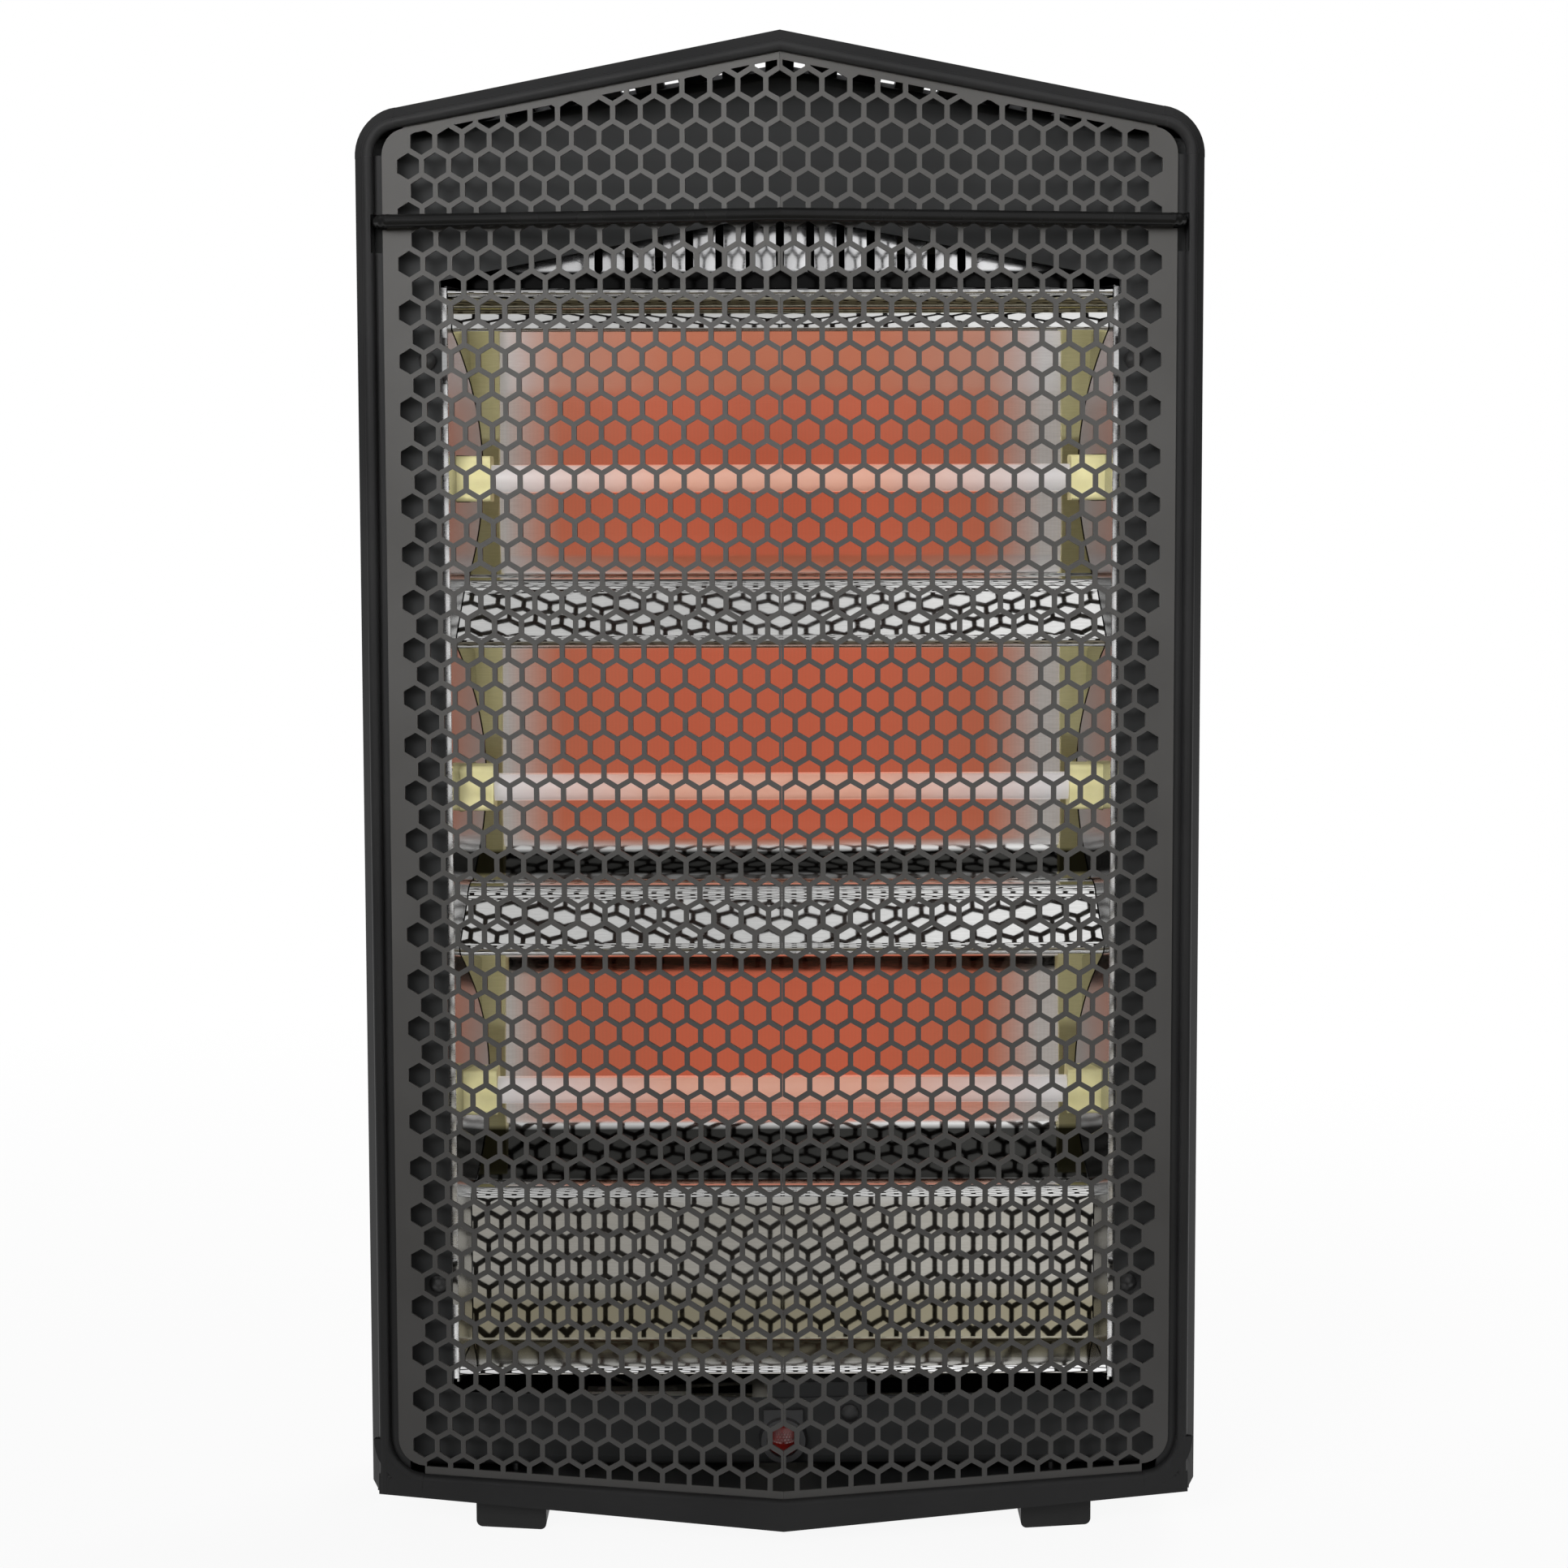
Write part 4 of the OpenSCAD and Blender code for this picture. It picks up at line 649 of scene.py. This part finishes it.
springForm = {"radius": 4.55, "wire": 0.45, "turns": 6, "steps": 40, "sides": 10, "lean": 0, "smooth": 50,
              "depth": 112.5}
springBox = [nodes["tip_spring"].matrix_world @ Vector(corner) for corner in nodes["tip_spring"].bound_box]
springLow = min(corner.z for corner in springBox)
springHigh = max(corner.z for corner in springBox)
springForm["pitch"] = ((springHigh - springLow) / mm - 2 * springForm["wire"]) / springForm["turns"]
springCentre = Vector((0, foldY + springForm["depth"] * mm, (springLow + springHigh) / 2))
spring = makeCoil("plunger_spring", springForm, springCentre)
wear(spring, finishes["zincSteel"])
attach(spring, "heater")
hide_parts("tip_spring")
print("coils wound")


# CAD nodes: each takes its finish, and those that show get eased edges

capNodes = ["ceramic_cap_" + which + "_" + side for side in ("left", "right") for which in tubeHeights]
worn = {
    "frameMoulding": ("front_frame",),
    "grilleEnamel": ("front_grille_left", "front_grille_right"),
    "wireEnamel": ("guard_wire",),
    "panelEnamel": ("inner_panel", "reflector_clip", "base_plate"),
    "screwBlack": ("panel_screws",),
    "reflectorPolish": ("reflector",),
    "endPolish": ("reflector_end_left", "reflector_end_right"),
    "shieldPolish": ("heat_shield",),
    "quartzPaintedGlow": ("quartz_tube_top", "quartz_tube_middle", "quartz_tube_bottom"),
    "coilGlow": ("heating_coil_top", "heating_coil_middle", "heating_coil_bottom"),
    "capCeramic": capNodes,
    "bezelMoulding": ("indicator_bezel",),
    "redLens": ("indicator_lens",),
    "housingEnamel": ("rear_housing",),
    "footMoulding": ("foot_left", "foot_right", "handle_cup"),
    "knobMoulding": ("selector_knob", "thermostat_knob", "thermal_cutout"),
    "paleMoulding": ("selector_switch", "thermostat_body", "tip_switch", "indicator_lamp", "terminal_block"),
    "plungerRed": ("tip_plunger",),
    "glandRubber": ("cord_gland",),
    "wireSleeve": ("wiring",),
    "zincSteel": ("base_screws", "foot_screws", "tip_spring"),
}
for finish, members in worn.items():
    for node in members:
        wear(nodes[node], finishes[finish])
print("finishes on,", sum(len(members) for members in worn.values()), "of", len(nodes), "nodes")

eased = {  # node: edge width in mm, segments
    "front_frame": (0.35, 2), "front_grille_left": (0.14, 1), "front_grille_right": (0.14, 1),
    "guard_wire": (0.1, 1), "foot_left": (0.8, 2), "foot_right": (0.8, 2), "rear_housing": (0.6, 2),
    "handle_cup": (0.5, 2), "selector_knob": (0.5, 2), "thermostat_knob": (0.5, 2),
    "indicator_bezel": (0.3, 2), "heat_shield": (0.15, 1), "inner_panel": (0.2, 1),
    "reflector_end_left": (0.35, 3), "reflector_end_right": (0.35, 3), "panel_screws": (0.2, 2),
    "cord_gland": (0.4, 2), **{node: (0.4, 2) for node in capNodes},
}
for node, (width, segments) in eased.items():
    finer(node, width * mm, segments)

tubeForm = {"radius": 5.5, "half": 121.5, "sides": 64, "edge": 0.5, "segments": 3, "sharp": 60, "smooth": 50}


def makeTube(name, form, height):
    clearSelection()
    bpy.ops.mesh.primitive_cylinder_add(
        vertices=form["sides"], radius=form["radius"] * mm, depth=2 * form["half"] * mm,
        location=(0, tubeCentreY, height), rotation=(0, math.radians(90), 0))
    piece = settle(bpy.context.object)
    piece.name = name
    bevel(piece, form["edge"] * mm, form["segments"], form["sharp"])
    return smooth(piece, form["smooth"])


for which, height in tubeHeights.items():
    tube = makeTube("glass_" + which, tubeForm, height)
    wear(tube, finishes["quartzPaintedGlow"])
    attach(tube, "heater")
    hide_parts("quartz_tube_" + which)
finer("indicator_lens", width=0.1 * mm, segments=1, degrees=60, smoothDegrees=50)
print("edges eased, tubes made")


# Camera at the photograph's place

shot = {  # lens, sensor and place in mm, clipEnd in metres, down in degrees, yaw and roll in radians
    "lens": 74.506, "sensor": 36, "clipEnd": 50, "x": -1.82, "back": 1245.6, "height": 413,
    "down": 5.026, "yaw": 0.00216, "roll": -0.00263,
}
cameraData = bpy.data.cameras.new("shot")
cameraData.lens = shot["lens"]
cameraData.sensor_width = shot["sensor"]
cameraData.clip_end = shot["clipEnd"]
camera = bpy.data.objects.new("shot", cameraData)
bpy.context.scene.collection.objects.link(camera)
stand = Matrix.Translation((shot["x"] * mm, foldY - shot["back"] * mm, shot["height"] * mm))
aim = Matrix.Rotation(-shot["yaw"], 4, "Z") @ Matrix.Rotation(math.radians(90 - shot["down"]), 4, "X")
camera.matrix_world = stand @ aim @ Matrix.Rotation(shot["roll"], 4, "Z")
bpy.context.scene.camera = camera
print("camera placed")


# Floor, world and lamps

def seenWhite(tree):
    # 1 where the camera, a mirror or glass looks straight at the surface
    path = addNode(tree, "ShaderNodeLightPath").outputs
    straight = calculate(tree, "MAXIMUM", path["Is Camera Ray"], path["Is Glossy Ray"])
    return calculate(tree, "MAXIMUM", straight, path["Is Transmission Ray"])


floorForm = {"size": 12, "middle": (0, 5.75, 0), "tone": (0.9, 0.9, 0.9, 1), "light": (1, 1, 1, 1),
             "glow": 0.92, "farSpan": (0.4, 1.3), "edgeSpan": (-0.24, -0.15)}


def makeFloor(form):
    # pale, and white with distance and towards its front edge, so that no edge shows
    clearSelection()
    bpy.ops.mesh.primitive_plane_add(size=form["size"], location=form["middle"])
    floor = settle(bpy.context.object)
    floor.name = "floor"
    material = bpy.data.materials.new("paleFloor")
    material.use_nodes = True
    tree = material.node_tree
    tree.nodes.clear()
    matt = addNode(tree, "ShaderNodeBsdfDiffuse", Color=form["tone"])
    glow = addNode(tree, "ShaderNodeEmission", Color=form["light"], Strength=1.0)
    place = objectPlace(tree)
    away = addNode(tree, "ShaderNodeVectorMath", operation="LENGTH")
    feed(tree, away.inputs[0], place)
    farWhite = remap(tree, away.outputs["Value"], form["glow"], 1, *form["farSpan"])
    edgeWhite = remap(tree, axes(tree, place)["Y"], 1, form["glow"], *form["edgeSpan"])
    whiter = calculate(tree, "MAXIMUM", farWhite, edgeWhite)
    mix = addNode(tree, "ShaderNodeMixShader")
    feed(tree, mix.inputs["Fac"], calculate(tree, "MULTIPLY", seenWhite(tree), whiter))
    feed(tree, mix.inputs[1], matt.outputs["BSDF"])
    feed(tree, mix.inputs[2], glow.outputs["Emission"])
    output = addNode(tree, "ShaderNodeOutputMaterial")
    feed(tree, output.inputs["Surface"], mix.outputs["Shader"])
    wear(floor, material)


roomForm = {  # strengths of the light, and the spans of direction over which they change
    "fill": 0.13, "low": 0.2, "high": 1.0, "dim": 0.1, "shadow": 0.66, "floorTint": (1.0, 0.9, 0.68),
    "white": (1, 1, 1), "tintSpan": (-0.42, -0.12), "riseSpan": (-0.42, 0.02), "shadowSpan": (-0.01, 0.06),
    "overheadSpan": (0.87, 0.95), "sideSpan": (0.6, 0.9), "backdropSpan": (0.35, 0.55),
    "behindSpan": (0.0, 0.2),
}


def makeWorld(form):
    # white behind the object; a mirror that looks forward sees a soft room, dim at its sides, overhead and
    # low down
    world = bpy.data.worlds.new("studioWorld")
    bpy.context.scene.world = world
    world.use_nodes = True
    tree = world.node_tree
    background = tree.nodes["Background"]
    towards = axes(tree, addNode(tree, "ShaderNodeTexCoord").outputs["Generated"])
    cameraRay = addNode(tree, "ShaderNodeLightPath").outputs["Is Camera Ray"]
    aside = calculate(tree, "ABSOLUTE", towards["X"])
    upDown = calculate(tree, "ABSOLUTE", towards["Z"])

    clear = calculate(tree, "MAXIMUM", remap(tree, towards["Z"], 0, 1, *form["tintSpan"]), cameraRay)
    feed(tree, background.inputs["Color"], colourMix(tree, clear, form["floorTint"], form["white"]))

    rise = remap(tree, towards["Z"], form["low"], form["high"], *form["riseSpan"])
    shadow = remap(tree, towards["X"], form["shadow"], 1, *form["shadowSpan"])
    room = calculate(tree, "MULTIPLY", rise, shadow)
    room = between(tree, remap(tree, towards["Z"], 1, 0, *form["overheadSpan"]), form["dim"], room)
    room = between(tree, remap(tree, aside, 1, 0, *form["sideSpan"]), form["dim"], room)
    backdrop = between(tree, remap(tree, upDown, 1, 0, *form["backdropSpan"]), form["dim"], 1)
    backdrop = between(tree, remap(tree, aside, 1, 0, *form["backdropSpan"]), form["dim"], backdrop)
    mirrored = between(tree, remap(tree, towards["Y"], 0, 1, *form["behindSpan"]), room, backdrop)
    seen = between(tree, cameraRay, mirrored, 1)
    feed(tree, background.inputs["Strength"], between(tree, seenWhite(tree), form["fill"], seen))


lamps = {  # power in watts, size, place and target in metres, spread in degrees
    "left": {
        "power": 5.8, "size": 1.0, "place": (-0.85, -1.7, 1.15), "target": (0.0, -0.05, 0.78), "spread": 46},
    "right": {
        "power": 1.7, "size": 1.0, "place": (0.85, -1.7, 1.15), "target": (0.0, -0.05, 0.78), "spread": 46},
    "key": {
        "power": 1.0, "size": 1.0, "place": (-0.2, -1.4, 1.1), "target": (0.0, -0.05, 0.70), "spread": 60},
    "over": {
        "power": 8, "size": 2.5, "place": (0.0, 1.2, 2.4), "target": (0.0, 1.0, 0.0), "spread": 180},
    "rear": {
        "power": 26, "size": 1.2, "place": (0.9, 1.9, 0.9), "target": (0.0, 0.1, 0.32), "spread": 150},
}


def makeLamp(name, form):
    # a soft lamp that neither the camera nor a mirror sees
    data = bpy.data.lights.new(name, "AREA")
    data.energy = form["power"]
    data.size = form["size"]
    data.spread = math.radians(form["spread"])
    lamp = bpy.data.objects.new(name, data)
    bpy.context.scene.collection.objects.link(lamp)
    lamp.location = form["place"]
    lamp.visible_camera = False
    lamp.visible_glossy = False
    direction = Vector(form["target"]) - Vector(form["place"])
    lamp.rotation_euler = direction.to_track_quat("-Z", "Y").to_euler()


makeFloor(floorForm)
makeWorld(roomForm)
for name, form in lamps.items():
    makeLamp(name, form)
bpy.context.scene.view_settings.view_transform = "Standard"
print("studio ready")
